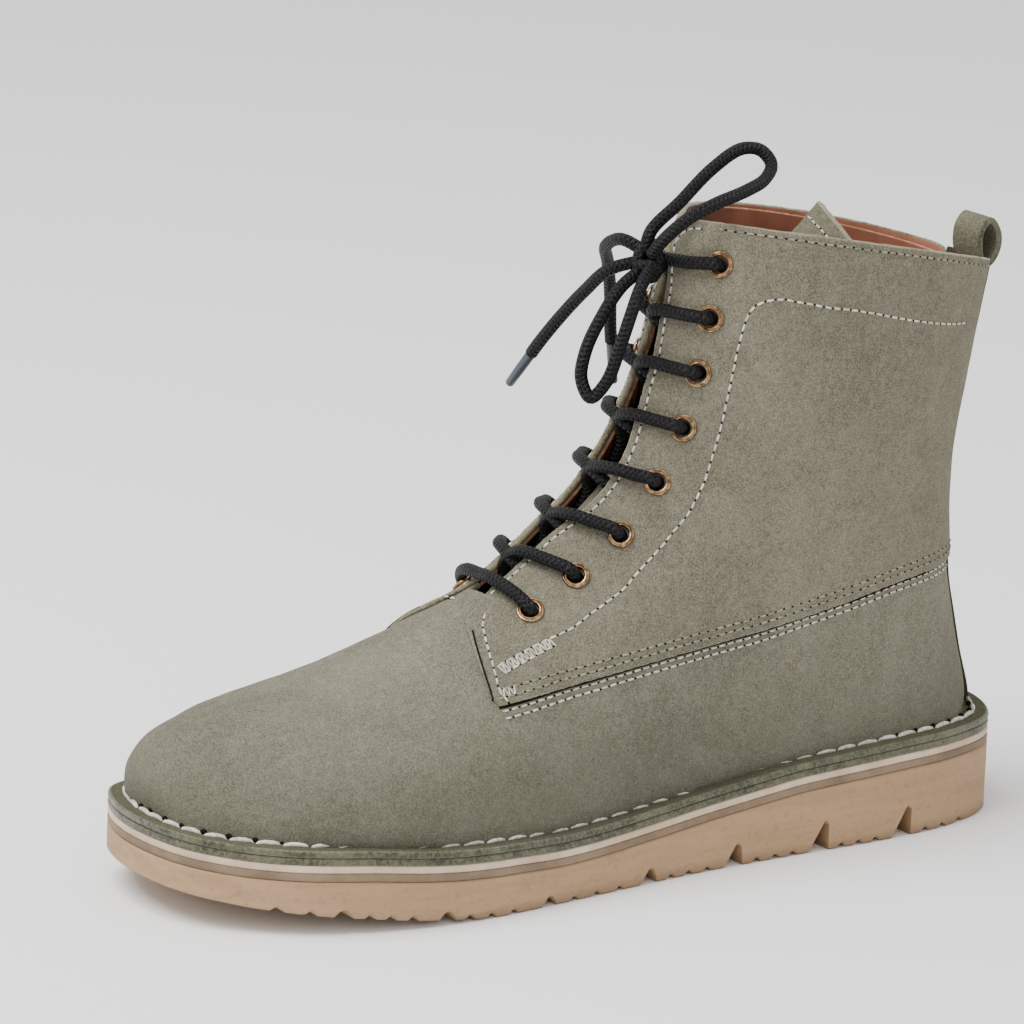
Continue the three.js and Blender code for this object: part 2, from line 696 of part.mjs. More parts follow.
// Pull loop: folded strap on the back of the collar, its centre line in shares of depth and height
const PULL_LINE = [
  { deep: 0.06, high: 0.1 },
  { deep: -0.14, high: 0.4 },
  { deep: -0.06, high: 0.72 },
  { deep: 0.28, high: 0.88 },
  { deep: 0.66, high: 0.64 },
  { deep: 0.68, high: 0.36 },
  { deep: 0.36, high: 0.1 },
];
function pullLoop() {
  const rim = surface(COLLAR, "lateral", 1);
  const line = new THREE.CatmullRomCurve3(PULL_LINE.map((p) => new THREE.Vector3(
    rim.y + p.deep * LOOP_DEPTH,
    rim.z + 3 * CLEARANCE + p.high * LOOP_HEIGHT,
    0,
  )), true, "centripetal").getSpacedPoints(20).slice(0, -1);
  const sideways = (i) => {
    const run = line[(i + 1) % line.length].clone().sub(line[(i + line.length - 1) % line.length]).normalize();
    return new THREE.Vector2(-run.y, run.x).multiplyScalar(LOOP_THICKNESS / 2);
  };
  const edge = (sign) => line.map((p, i) => new THREE.Vector2(p.x, p.y).addScaledVector(sideways(i), sign));
  const outside = prism(edge(1), -LOOP_WIDTH / 2, LOOP_WIDTH / 2);
  const inside = prism(edge(-1), -LOOP_WIDTH, LOOP_WIDTH);
  return outside.volume() > inside.volume() / 2 ? outside.subtract(inside) : inside.subtract(outside);
}

// Lace: above the facing, over its edge and into the throat
const LACE_LIFT = OVERLAY + LACE_RADIUS + 4 * CLEARANCE;
const SEAT_LIFT = CLEARANCE + EYELET_RIM + CLEARANCE + LACE_RADIUS * 1.5;

function acrossPoint(section, side, distance, height) {
  return shifted(section, side, turnAt(section, side, distance), height);
}

function halfCrossing(seat, nextSection, radius) {
  const other = seat.side === "lateral" ? "medial" : "lateral";
  const at = (share) => seat.section + (nextSection - seat.section) * share;
  const gap = halfGap(seat.section);
  return tube([
    seat.point.clone().addScaledVector(seat.normal, SEAT_LIFT),
    acrossPoint(at(0.12), seat.side, (gap + EYELET_REACH) / 2, LACE_LIFT),
    acrossPoint(at(0.22), seat.side, gap, LACE_LIFT),
    acrossPoint(at(0.32), seat.side, gap * 0.5, LACE_LIFT - 1.6),
    acrossPoint(at(0.42), other, 0.5, LACE_LIFT - 3.2),
    acrossPoint(at(0.5), other, gap - LACE_RADIUS - 2 * CLEARANCE, -0.6),
  ], radius);
}

function crossing(index, radius = LACE_RADIUS) {
  const pair = seats.filter((seat) => seat.number === index + 1);
  const next = seats.find((seat) => seat.number === index + 2).section;
  return halfCrossing(pair[0], next, radius).add(halfCrossing(pair[1], next, radius));
}

function bar(index, lift) {
  const pair = seats.filter((seat) => seat.number === index + 1);
  const section = pair[0].section;
  const gap = halfGap(section);
  return tube([
    pair[0].point.clone().addScaledVector(pair[0].normal, SEAT_LIFT),
    acrossPoint(section, "lateral", (gap + EYELET_REACH) / 2, LACE_LIFT),
    acrossPoint(section, "lateral", gap * 0.9, LACE_LIFT),
    acrossPoint(section, "lateral", 0, lift),
    acrossPoint(section, "medial", gap * 0.9, LACE_LIFT),
    acrossPoint(section, "medial", (gap + EYELET_REACH) / 2, LACE_LIFT),
    pair[1].point.clone().addScaledVector(pair[1].normal, SEAT_LIFT),
  ]);
}

// Bow: its knot and the lines of its loops and ends, chosen by hand, mm
const KNOT = new THREE.Vector3(0.5, 20.6, 181.2);
const KNOT_SIZE = new THREE.Vector3(5.4, 4.8, 6.6);
const BOW = {
  lace_loop_upper: [
    [-0.8, 20, 184], [1.4, 20.6, 191], [3.6, 29, 199.4], [3, 40.6, 208.6], [2.5, 51.7, 214], [3.5, 58.1, 213.2],
    [6.5, 60, 209.6], [10.5, 55.3, 206], [14, 46, 203.6], [16, 33.5, 200.9], [15, 25.6, 197.4], [9.6, 20.6, 190.6],
    [3, 20, 184],
  ],
  lace_loop_lower: [
    [-0.5, 19.5, 179], [1.4, 10.6, 174.6], [1.8, 3.8, 166.3], [0, -0.4, 155.7], [-1, -1, 146.6], [1.5, 0.9, 141.2],
    [5, 4.2, 146.6], [8, 6.5, 157.6], [9.6, 8.8, 167.4], [8.4, 12.6, 175], [3.5, 19.5, 180],
  ],
  lace_end_medial: [
    [-0.6, 19.4, 181.6], [-8, 12, 177.8], [-16, 9.2, 170.2], [-24, 6.6, 161.4], [-31, 3.4, 151.8],
    [-34.4, 2.4, 147.2],
  ],
  lace_end_hidden: [
    [-1, 20.6, 184], [-8, 16.6, 186.8], [-18, 17.5, 183], [-28, 25, 175], [-35, 31, 164], [-38.6, 34, 152],
    [-39.3, 35, 147],
  ],
};
const points = (list) => list.map(([x, y, z]) => new THREE.Vector3(x, y, z));

function knot(extra = 0) {
  const geometry = new THREE.SphereGeometry(1, 10, 8);
  geometry.scale(KNOT_SIZE.x + extra, KNOT_SIZE.y + extra, KNOT_SIZE.z + extra);
  geometry.translate(KNOT.x, KNOT.y, KNOT.z);
  return solid(geometry);
}

function aglet(name) {
  const line = points(BOW[name]);
  const tip = line[line.length - 1];
  const run = tip.clone().sub(line[line.length - 2]).normalize();
  const start = tip.clone().addScaledVector(run, CLEARANCE);
  return tube([start, start.clone().addScaledVector(run, AGLET_LENGTH)], AGLET_DIAMETER / 2);
}

// Grooves across the tread, each a rounded wedge
function groove({ place, depth, width, lean }) {
  const y = place * SOLE_LENGTH - HALF_LENGTH;
  const floor = treadHeight(y);
  const lip = 3;
  const half = width / 2;
  const spread = half * (1 + lip / depth);
  return prism([
    new THREE.Vector2(y - spread, floor - lip),
    new THREE.Vector2(y + spread, floor - lip),
    new THREE.Vector2(y + half * 0.45 + lean, floor + depth * 0.85),
    new THREE.Vector2(y + half * 0.1 + lean, floor + depth),
    new THREE.Vector2(y - half * 0.25 + lean, floor + depth * 0.85),
  ], -BALL_WIDTH, BALL_WIDTH);
}

function outsole() {
  let body = plate(treadHeight, outsoleTop);
  for (const row of GROOVES) body = body.subtract(groove(row));
  return body;
}

const boot = new THREE.Group();
boot.add(piece("outsole", outsole(), COLOURS.tan));
boot.add(piece("midsole", plate(
  (y) => soleTop(y) - MIDSOLE_TOP_DROP - MIDSOLE_THICKNESS,
  (y) => soleTop(y) - MIDSOLE_TOP_DROP,
), COLOURS.brown));
boot.add(piece("runner", plate(
  (y) => soleTop(y) - RUNNER_TOP_DROP - RUNNER_THICKNESS,
  (y) => soleTop(y) - RUNNER_TOP_DROP,
), COLOURS.cream));
boot.add(piece("welt", plate((y) => soleTop(y) - WELT_THICKNESS, soleTop), COLOURS.suede));
boot.add(piece("upper", upper(), COLOURS.suede));
boot.add(piece("insole", insole(), COLOURS.lining));
boot.add(piece("tongue", tongue(), COLOURS.suede));
boot.add(piece("backstay", backstay(), COLOURS.suede));
boot.add(piece("pull_loop", pullLoop(), COLOURS.suede));
for (const seat of seats) {
  boot.add(piece(`eyelet_${seat.side}_${seat.number}`, eyelet(seat), COLOURS.brass, 0.4, 0.9));
}
for (let i = 0; i < EYELETS.length - 1; i += 1) {
  boot.add(piece(`lace_crossing_${i + 1}`, crossing(i), COLOURS.black, 0.6));
}
boot.add(piece("lace_bar", bar(EYELETS.length - 1, LACE_LIFT - 0.6), COLOURS.black, 0.6));
boot.add(piece("lace_knot", knot().subtract(crossing(0, LACE_RADIUS + CLEARANCE)), COLOURS.black, 0.6));
for (const [name, list] of Object.entries(BOW)) {
  boot.add(piece(name, tube(points(list)).subtract(knot(CLEARANCE)), COLOURS.black, 0.6));
}
boot.add(piece("aglet_medial", aglet("lace_end_medial"), COLOURS.aglet, 0.3));
boot.add(piece("aglet_hidden", aglet("lace_end_hidden"), COLOURS.aglet, 0.3));

export default boot;
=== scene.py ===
# Looks of a left lace-up suede ankle boot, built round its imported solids.
# Blender's metres; the tables and functions of the last are in millimetres, as in the part's source.
import math

import bmesh
import bpy
import numpy as np
from mathutils import Matrix, Vector
from mathutils.bvhtree import BVHTree


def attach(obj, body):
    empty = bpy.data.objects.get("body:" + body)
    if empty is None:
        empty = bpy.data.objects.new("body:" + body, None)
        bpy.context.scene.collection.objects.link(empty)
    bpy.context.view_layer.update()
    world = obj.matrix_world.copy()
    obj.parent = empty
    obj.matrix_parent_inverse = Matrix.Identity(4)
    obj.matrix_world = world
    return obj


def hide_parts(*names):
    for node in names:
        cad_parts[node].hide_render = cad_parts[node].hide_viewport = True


MM = 0.001

# Camera: direction of view in degrees, distance and target in metres, focal length in picture widths
CAMERA_AZIMUTH = 57
CAMERA_ELEVATION = 14.2
CAMERA_ROLL = 2.1
CAMERA_DISTANCE = 1.8
CAMERA_TARGET = Vector((0, -0.0248, 0.108))
CAMERA_FOCAL = 5986 / 1024
SENSOR = 36

# Driving sizes, as in the part's source, mm
SOLE_LENGTH = 300
BALL_WIDTH = 104
FOREFOOT_THICKNESS = 11.4
HEEL_LIFT = 10.5
TOE_SPRING = 10.8
WELT_THICKNESS = 2
RUNNER_THICKNESS = 1.9
MIDSOLE_THICKNESS = 2.3
LAYER_GAP = 0.3
UPPER_HEIGHT = 178.4
WALL = 2
OVERLAY = 1.3
FLANGE_THICKNESS = 2
FLANGE_WIDTH = 6.5
CLEARANCE = 0.3
FOOT_DEPTH = 4
THROAT_GAP = 19
EYELET_REACH = 20
LACE_RADIUS = 2
TONGUE_THICKNESS = 2.5
TONGUE_WIDTH = 62
TONGUE_LEAN = 50
TONGUE_LACE_ROOM = 2.4
BACKSTAY_WIDTH = 14
BACKSTAY_THICKNESS = 1.6
LOOP_WIDTH = 20
LOOP_HEIGHT = 18
LOOP_DEPTH = 12.2
LOOP_THICKNESS = 2
AGLET_LENGTH = 14
AGLET_DIAMETER = 3.2

HALF_LENGTH = SOLE_LENGTH / 2
RUNNER_TOP_DROP = WELT_THICKNESS + LAYER_GAP
MIDSOLE_TOP_DROP = RUNNER_TOP_DROP + RUNNER_THICKNESS + LAYER_GAP
OUTSOLE_TOP_DROP = MIDSOLE_TOP_DROP + MIDSOLE_THICKNESS + LAYER_GAP

# Finer steps of the surfaces
SECTION_STEPS = 14
TURN_STEPS = 84
OUTLINE_STEPS = 14

# Outline of the sole: share of the length, then the outer and the inner side's share of the ball width
OUTLINE = np.array([
    (0.0, -0.055, -0.055),
    (0.01, 0.13, -0.235),
    (0.04, 0.262, -0.38),
    (0.107, 0.405, -0.468),
    (0.2, 0.484, -0.5),
    (0.3, 0.5, -0.49),
    (0.42, 0.462, -0.447),
    (0.55, 0.414, -0.388),
    (0.68, 0.394, -0.358),
    (0.8, 0.386, -0.362),
    (0.9, 0.346, -0.336),
    (0.97, 0.236, -0.23),
    (1.0, 0.0, 0.0),
])

# Share of the length, rise of the tread as a share of the toe spring, wedge as a share of the heel lift
PROFILE = np.array([
    (0.0, 1.0, -0.32),
    (0.06, 0.74, -0.22),
    (0.167, 0.4, 0.0),
    (0.25, 0.14, 0.05),
    (0.31, 0.0, 0.1),
    (0.4, 0.0, 0.02),
    (0.5, 0.0, 0.2),
    (0.6, 0.0, 0.5),
    (0.7, 0.0, 0.8),
    (0.83, 0.0, 0.98),
    (1.0, 0.0, 1.0),
])

# Sections of the last from the toe to the collar, as shares of the named sizes; foot is None on the sole
SECTION_COLUMNS = (
    "front", "crown", "back", "foot", "lateral", "medial", "ridge", "base", "full", "heel", "bow",
)
SECTIONS = [
    (0.017, 0.098, 0.017, 0.098, 0, 0, -0.067, -0.067, 0.92, 0.92, 0),
    (0.021, 0.131, 0.021, 0.058, 0.115, 0.12, -0.067, -0.067, 0.92, 0.92, 0),
    (0.035, 0.159, 0.03, None, 0.202, 0.202, -0.067, -0.067, 0.92, 0.92, 0),
    (0.065, 0.188, 0.06, None, 0.298, 0.288, -0.067, -0.062, 0.94, 0.92, 0),
    (0.11, 0.212, 0.11, None, 0.404, 0.365, -0.067, -0.043, 0.96, 0.92, 0),
    (0.173, 0.232, 0.177, None, 0.471, 0.409, -0.058, -0.029, 0.96, 0.92, 0),
    (0.24, 0.26, 0.257, None, 0.49, 0.418, -0.053, -0.019, 0.96, 0.9, 0),
    (0.297, 0.295, 0.347, None, 0.471, 0.409, -0.038, -0.014, 0.96, 0.88, 0),
    (0.345, 0.333, 0.44, None, 0.438, 0.385, -0.014, -0.01, 0.96, 0.84, 0),
    (0.39, 0.373, 0.54, None, 0.399, 0.361, 0.005, 0, 0.96, 0.8, 0),
    (0.428, 0.42, 0.64, None, 0.375, 0.346, 0.014, 0.01, 0.97, 0.76, 0),
    (0.462, 0.471, 0.74, None, 0.361, 0.341, 0.019, 0.01, 0.99, 0.73, 0),
    (0.493, 0.52, 0.833, None, 0.351, 0.337, 0.024, 0.005, 1.01, 0.71, 0.002),
    (0.519, 0.572, 0.91, None, 0.346, 0.337, 0.024, 0, 1.03, 0.7, 0.004),
    (0.539, 0.62, 0.955, None, 0.341, 0.332, 0.024, 0, 1.05, 0.7, 0.006),
    (0.555, 0.673, 0.97, 0.067, 0.337, 0.332, 0.024, 0, 1.06, 0.71, 0.009),
    (0.569, 0.734, 0.955, 0.17, 0.337, 0.332, 0.024, 0, 1.06, 0.73, 0.012),
    (0.581, 0.798, 0.935, 0.322, 0.332, 0.327, 0.024, 0, 1.06, 0.75, 0.015),
    (0.592, 0.86, 0.931, 0.496, 0.327, 0.322, 0.024, 0, 1.06, 0.77, 0.018),
    (0.603, 0.919, 0.948, 0.669, 0.322, 0.317, 0.024, 0, 1.06, 0.78, 0.02),
    (0.62, 0.971, 0.968, 0.862, 0.317, 0.317, 0.024, 0, 1.06, 0.78, 0.021),
]

# Where the throat starts
THROAT_START = 8.8
TAB_START = 7.2

# Eyelets from the collar down: section number and share of the reach from the crown line
EYELETS = [
    (18.95, 0.77),
    (17.65, 0.855),
    (16.35, 0.905),
    (14.95, 0.95),
    (13.2, 0.97),
    (11.6, 1.01),
    (10.25, 1),
    (9.05, 0.985),
]

# Seam of the quarter on the lower panel in side view (y, z), as seen in the photograph, mm
TAB_EDGE = [
    (-38.6, 86), (-38.9, 83.6), (-41.1, 81.9), (-44.3, 79.2), (-46.2, 77), (-47.2, 75.1), (-48.6, 71.9),
    (-49.7, 68.7), (-50.3, 64.9), (-50.3, 60.9),
]
LOWER_EDGE = [
    (-49.6, 59.3), (-40.3, 60.7), (-28, 62.7), (-15.5, 64.6), (-3.1, 66.5), (9.6, 68.3), (27, 70.5),
    (42.4, 72.4), (57.6, 75), (94.8, 81.8), (111.6, 83.2), (125, 83.6),
]

# Edges of the throat: section number, distance of the outer and of the inner facing's edge from the ridge, mm
FACING_EDGES = np.array([
    (5, 5.7, 5.7),
    (7.2, 5.7, 5.7),
    (8, 5.2, 7),
    (9.05, 3.4, 8.5),
    (10.5, 3.6, 9.3),
    (11.6, 6.3, 9.5),
    (12.5, 7.2, 9.5),
    (13.5, 6.3, 9.2),
    (15, 3.8, 7.8),
    (16.35, 2.3, 6.2),
    (17.3, 0.6, 5.2),
    (18, -0.6, 4.8),
    (18.6, -2.6, 5.4),
    (19.1, -4.4, 6.6),
    (19.5, -5, 7),
    (20, -5, 7),
])

# Grooves across the tread: share of the length, depth, width and lean of the root in mm
GROOVES = [
    (0.082, 1.4, 3, 0),
    (0.111, 1.4, 3, 0),
    (0.141, 2.4, 5, 0),
    (0.167, 1.3, 3, 0),
    (0.188, 1.3, 3, 0),
    (0.211, 1.3, 3, 0),
    (0.248, 2.6, 5, 0),
    (0.274, 1.3, 3, 0),
    (0.299, 1.3, 3, 0),
    (0.326, 1.3, 3, 0),
    (0.371, 3, 5, 0),
    (0.403, 1.3, 3, 0),
    (0.432, 1.3, 3, 0),
    (0.462, 1.3, 3, 0),
    (0.499, 4.6, 6, 1),
    (0.53, 1.3, 3, 0),
    (0.553, 1.3, 3, 0),
    (0.577, 1.3, 3, 0),
    (0.608, 7, 6.5, 2),
    (0.64, 1.4, 3.2, 0),
    (0.664, 1.4, 3.2, 0),
    (0.686, 1.4, 3.2, 0),
    (0.716, 9.3, 7, 3),
    (0.748, 1.4, 3.2, 0),
    (0.77, 1.4, 3.2, 0),
    (0.792, 1.4, 3.2, 0),
    (0.824, 9.6, 7, 3),
    (0.86, 1.4, 3.2, 0),
    (0.885, 1.4, 3.2, 0),
    (0.912, 1.4, 3.2, 0),
]

# Tongue from under the vamp to its top: section number, drop, lean, rise, width
TONGUE_ROWS = np.array([
    (7, 0, 0, 0, 0.86),
    (8, 0.35, 0, 0, 0.92),
    (9, 1, 0, 0, 0.97),
    (10, 1, 0, 0, 1),
    (11, 1, 0, 0, 1),
    (12, 1, 0.01, 0, 1),
    (13, 1, 0.05, 0, 1),
    (14, 1, 0.12, 0, 1),
    (15, 1, 0.23, 0, 1),
    (16, 1, 0.37, 0, 1),
    (17, 1, 0.53, 0, 1),
    (18, 1, 0.7, -0.01, 1),
    (19, 1, 0.88, -0.03, 1),
    (19.6, 1, 1, -0.02, 1),
])

# Pull loop: its centre line in shares of depth and height
PULL_LINE = [
    (0.06, 0.1),
    (-0.14, 0.4),
    (-0.06, 0.72),
    (0.28, 0.88),
    (0.66, 0.64),
    (0.68, 0.36),
    (0.36, 0.1),
]

# Bow: its knot and the lines of its loops and ends, as in the part, mm
KNOT = (0.5, 20.6, 181.2)
KNOT_SIZE = (5.4, 4.8, 6.6)
BOW = {
    "lace_loop_upper": [
        (-0.8, 20, 184), (1.4, 20.6, 191), (3.6, 29, 199.4), (3, 40.6, 208.6), (2.5, 51.7, 214),
        (3.5, 58.1, 213.2), (6.5, 60, 209.6), (10.5, 55.3, 206), (14, 46, 203.6), (16, 33.5, 200.9),
        (15, 25.6, 197.4), (9.6, 20.6, 190.6), (3, 20, 184),
    ],
    "lace_loop_lower": [
        (-0.5, 19.5, 179), (1.4, 10.6, 174.6), (1.8, 3.8, 166.3), (0, -0.4, 155.7), (-1, -1, 146.6),
        (1.5, 0.9, 141.2), (5, 4.2, 146.6), (8, 6.5, 157.6), (9.6, 8.8, 167.4), (8.4, 12.6, 175),
        (3.5, 19.5, 180),
    ],
    "lace_end_medial": [
        (-0.6, 19.4, 181.6), (-8, 12, 177.8), (-16, 9.2, 170.2), (-24, 6.6, 161.4), (-31, 3.4, 151.8),
        (-34.4, 2.4, 147.2),
    ],
    "lace_end_hidden": [
        (-1, 20.6, 184), (-8, 16.6, 186.8), (-18, 17.5, 183), (-28, 25, 175), (-35, 31, 164),
        (-38.6, 34, 152), (-39.3, 35, 147),
    ],
}

# Soft dents and swells of the upper: centre, size and height in mm
DENTS = [
    ((30, -75, 50), (9, 30, 8), -0.6),
    ((12, -60, 62), (30, 6, 14), -0.7),
]


def column(values, place, fold=None):
    """Smooth interpolation of a column of numbers by row number."""
    values = np.asarray(values, float)
    last = len(values) - 1
    first = 2 * values[0] - values[1] if fold is None else fold[1]
    after = 2 * values[last] - values[last - 1] if fold is None else fold[last - 1]
    padded = np.concatenate([[first], values, [after]])
    place = np.asarray(place, float)
    index = np.clip(np.floor(place), 0, last - 1).astype(int)
    share = place - index
    a, b, c, d = (padded[index + i] for i in range(4))
    square = share * share
    cube = square * share
    return 0.5 * (
        2 * b + (c - a) * share + (2 * a - 5 * b + 4 * c - d) * square + (3 * b - a - 3 * c + d) * cube
    )


def along(table, key, place):
    """Value of a table's column at a place along its first column."""
    places = table[:, 0]
    place = np.asarray(place, float)
    index = np.clip(np.searchsorted(places[1:], place), 0, len(places) - 2)
    share = np.clip((place - places[index]) / (places[index + 1] - places[index]), 0, 1)
    return column(table[:, key], index + share)


def place_of(y):
    return (np.asarray(y, float) + HALF_LENGTH) / SOLE_LENGTH


def tread_height(y):
    return np.maximum(TOE_SPRING * along(PROFILE, 1, place_of(y)), 0)


def outsole_top(y):
    return tread_height(y) + FOREFOOT_THICKNESS + HEEL_LIFT * along(PROFILE, 2, place_of(y))


def sole_top(y):
    return outsole_top(y) + OUTSOLE_TOP_DROP


SEAT = float(sole_top(-HALF_LENGTH / 3))


def outline_points(rows, side, inset=0.0):
    """Points (x, y) of the sole's outline at row numbers on one side, moved inwards by an inset."""
    key, other, turn = (1, 2, 1) if side == "lateral" else (2, 1, -1)

    def at(r):
        x = BALL_WIDTH * column(OUTLINE[:, key], r, OUTLINE[:, other])
        y = SOLE_LENGTH * column(OUTLINE[:, 0], r, OUTLINE[:, 0]) - HALF_LENGTH
        return np.stack([x, y], -1)

    rows = np.asarray(rows, float)
    step = 0.02
    point = at(rows)
    last = len(OUTLINE) - 1
    run = at(np.minimum(rows + step, last + 0.5)) - at(np.maximum(rows - step, -0.5))
    run /= np.linalg.norm(run, axis=-1, keepdims=True)
    return point + np.stack([-run[..., 1], run[..., 0]], -1) * turn * inset


def inset_x(y, side, inset):
    rows = np.linspace(0, len(OUTLINE) - 1, (len(OUTLINE) - 1) * 3 + 1)
    points = outline_points(rows, side, inset)
    return float(np.interp(y, points[:, 1], points[:, 0]))


def last_table():
    """Columns of the last's sections in mm."""
    columns = {key: [] for key in (
        "front_y", "front_z", "back_y", "back_z", "lateral", "medial", "lateral_foot", "medial_foot",
        "ridge", "base", "full", "heel", "bow",
    )}
    for row in SECTIONS:
        s = dict(zip(SECTION_COLUMNS, row))
        back = s["back"] * SOLE_LENGTH - HALF_LENGTH
        base = s["base"] * BALL_WIDTH
        lateral = s["lateral"] * BALL_WIDTH
        medial = s["medial"] * BALL_WIDTH
        on_sole = s["foot"] is None
        outer = min(inset_x(back, "lateral", FLANGE_WIDTH) - base, lateral) if on_sole else 0
        inner = min(base - inset_x(back, "medial", FLANGE_WIDTH), medial) if on_sole else 0
        foot_z = float(sole_top(back)) - FOOT_DEPTH if on_sole else s["foot"] * UPPER_HEIGHT + SEAT
        values = (
            s["front"] * SOLE_LENGTH - HALF_LENGTH, s["crown"] * UPPER_HEIGHT + SEAT, back, foot_z,
            lateral, medial, outer, inner, s["ridge"] * BALL_WIDTH, base, s["full"], s["heel"],
            s["bow"] * UPPER_HEIGHT,
        )
        for key, value in zip(columns, values):
            columns[key].append(value)
    return {key: np.array(values) for key, values in columns.items()}


LAST = last_table()
COLLAR = len(SECTIONS) - 1


def surface(section, side, turn):
    """Points of the last's surface; turn goes from 0 at the crown to 1 at the foot."""
    section, turn = np.broadcast_arrays(np.asarray(section, float), np.asarray(turn, float))
    get = {key: column(values, section) for key, values in LAST.items()}
    width = np.maximum(get[side], 0.01)
    foot = np.clip(get[side + "_foot"] / width, 0, 1)
    end = math.pi - np.arcsin(foot ** (1 / get["heel"]))
    angle = end * turn
    depth = (1 - np.cos(angle)) / (1 - np.cos(end))
    sign = 1 if side == "lateral" else -1
    middle = get["ridge"] + (get["base"] - get["ridge"]) * depth
    swing = np.maximum(np.sin(angle), 0)
    power = np.where(angle < math.pi / 2, get["full"], get["heel"])
    return np.stack([
        middle + sign * width * swing ** power,
        get["front_y"] + (get["back_y"] - get["front_y"]) * depth,
        get["front_z"] + (get["back_z"] - get["front_z"]) * depth + get["bow"] * swing,
    ], -1)


def outward(section, side, turn):
    """Outward directions of the surface."""
    section, turn = np.broadcast_arrays(np.asarray(section, float), np.asarray(turn, float))
    step = 0.02
    low = np.maximum(turn - step, 0.001)
    high = np.minimum(turn + step, 0.999)
    lengthwise = surface(section + step, side, turn) - surface(section - step, side, turn)
    around = surface(section, side, high) - surface(section, side, low)
    normal = np.cross(around, lengthwise) if side == "lateral" else np.cross(lengthwise, around)
    open_foot = column(LAST[side + "_foot"], section) > 1
    flat = (turn < 0.001) | ((turn > 0.999) & ~open_foot)
    normal[..., 0] = np.where(flat, 0, normal[..., 0])
    normal /= np.maximum(np.linalg.norm(normal, axis=-1, keepdims=True), 1e-9)
    normal[section < 0.05] = (0, -1, 0)
    return normal


def turn_at(section, side, distance):
    """Turn at which a section has run a distance round from its crown."""
    turns = np.linspace(0, 1, 201)
    line = surface(section, side, turns)
    run = np.concatenate([[0], np.cumsum(np.linalg.norm(np.diff(line, axis=0), axis=1))])
    return float(np.interp(distance, run, turns))


def on_surface(section, side, distance, height):
    """Point beside the crown line at a distance round, and at a height above the surface."""
    turn = turn_at(section, side, distance)
    return surface(section, side, turn) + outward(section, side, turn) * height


def across(section, distance, height):
    """Point at a signed distance round from the ridge, positive on the outer side."""
    return on_surface(section, "lateral" if distance >= 0 else "medial", abs(distance), height)


def smooth_line(points, spacing, closed=False):
    """Points at even spacing along a smooth curve through the given ones."""
    points = np.array(points, float)
    padded = np.vstack([points[-1:], points, points[:2]]) if closed else np.vstack([
        2 * points[0] - points[1], points, 2 * points[-1] - points[-2],
    ])
    line = []
    for i in range(len(padded) - 3):
        a, b, c, d = padded[i:i + 4]
        t1 = max(np.linalg.norm(b - a), 1e-6) ** 0.5
        t2 = t1 + max(np.linalg.norm(c - b), 1e-6) ** 0.5
        t3 = t2 + max(np.linalg.norm(d - c), 1e-6) ** 0.5
        for t in np.linspace(t1, t2, 17)[:-1]:
            p1 = a * (t1 - t) / t1 + b * t / t1
            p2 = b * (t2 - t) / (t2 - t1) + c * (t - t1) / (t2 - t1)
            p3 = c * (t3 - t) / (t3 - t2) + d * (t - t2) / (t3 - t2)
            q1 = p1 * (t2 - t) / t2 + p2 * t / t2
            q2 = p2 * (t3 - t) / (t3 - t1) + p3 * (t - t1) / (t3 - t1)
            line.append(q1 * (t2 - t) / (t2 - t1) + q2 * (t - t1) / (t2 - t1))
    line.append(points[0] if closed else points[-1])
    return even(np.array(line), spacing)


def even(line, spacing):
    """The same line with its points at even distances."""
    run = np.concatenate([[0], np.cumsum(np.linalg.norm(np.diff(line, axis=0), axis=1))])
    count = max(2, int(round(run[-1] / spacing)) + 1)
    marks = np.linspace(0, run[-1], count)
    return np.stack([np.interp(marks, run, line[:, k]) for k in range(line.shape[1])], -1)


def waves(points, size, seed):
    """Soft random relief from -1 to 1 over points, with bumps of about the given size in mm."""
    random = np.random.default_rng(seed)
    total = np.zeros(len(points))
    for _ in range(9):
        direction = random.normal(size=3)
        direction *= 2 * math.pi / size * random.uniform(0.6, 1.4) / np.linalg.norm(direction)
        total += np.sin(points @ direction + random.uniform(0, 2 * math.pi))
    return total / 4.5


# Meshes: rows of a patch hold x, y, z, the outward direction, section number and distance from the ridge
SECTION_COLUMN = 6
RIDGE_COLUMN = 7


def last_patch():
    """The last's whole surface as one fine patch: rows of values and triangles."""
    sections = np.linspace(0, COLLAR, COLLAR * SECTION_STEPS + 1)
    turns = np.linspace(0, 1, TURN_STEPS + 1)
    halves = []
    for side in ("medial", "lateral"):
        points = surface(sections[:, None], side, turns[None, :])
        normals = outward(sections[:, None], side, turns[None, :])
        numbers = np.broadcast_to(sections[:, None, None], points.shape[:2] + (1,))
        ridge = points[..., :1] - column(LAST["ridge"], sections)[:, None, None]
        halves.append(np.concatenate([points, normals, numbers, ridge], -1))
    grid = np.concatenate([halves[0][:, :0:-1], halves[1]], 1)
    rows, count = grid.shape[:2]
    index = np.arange(rows * count).reshape(rows, count)
    closed = column(LAST["lateral_foot"], sections) < 0.5
    index[closed, 0] = index[closed, -1]
    index[0] = index[0, 0]
    a, b, c, d = index[:-1, :-1], index[:-1, 1:], index[1:, 1:], index[1:, :-1]
    triangles = np.concatenate([np.stack([a, b, c], -1).reshape(-1, 3), np.stack([a, c, d], -1).reshape(-1, 3)])
    values = grid.reshape(-1, grid.shape[2])
    good = (triangles[:, 0] != triangles[:, 1]) & (triangles[:, 1] != triangles[:, 2])
    triangles = triangles[good & (triangles[:, 0] != triangles[:, 2])]
    corners = values[triangles]
    facing = np.cross(corners[:, 1, :3] - corners[:, 0, :3], corners[:, 2, :3] - corners[:, 0, :3])
    if (facing * corners[:, 0, 3:6]).sum() < 0:
        triangles = triangles[:, ::-1]
    return values, triangles


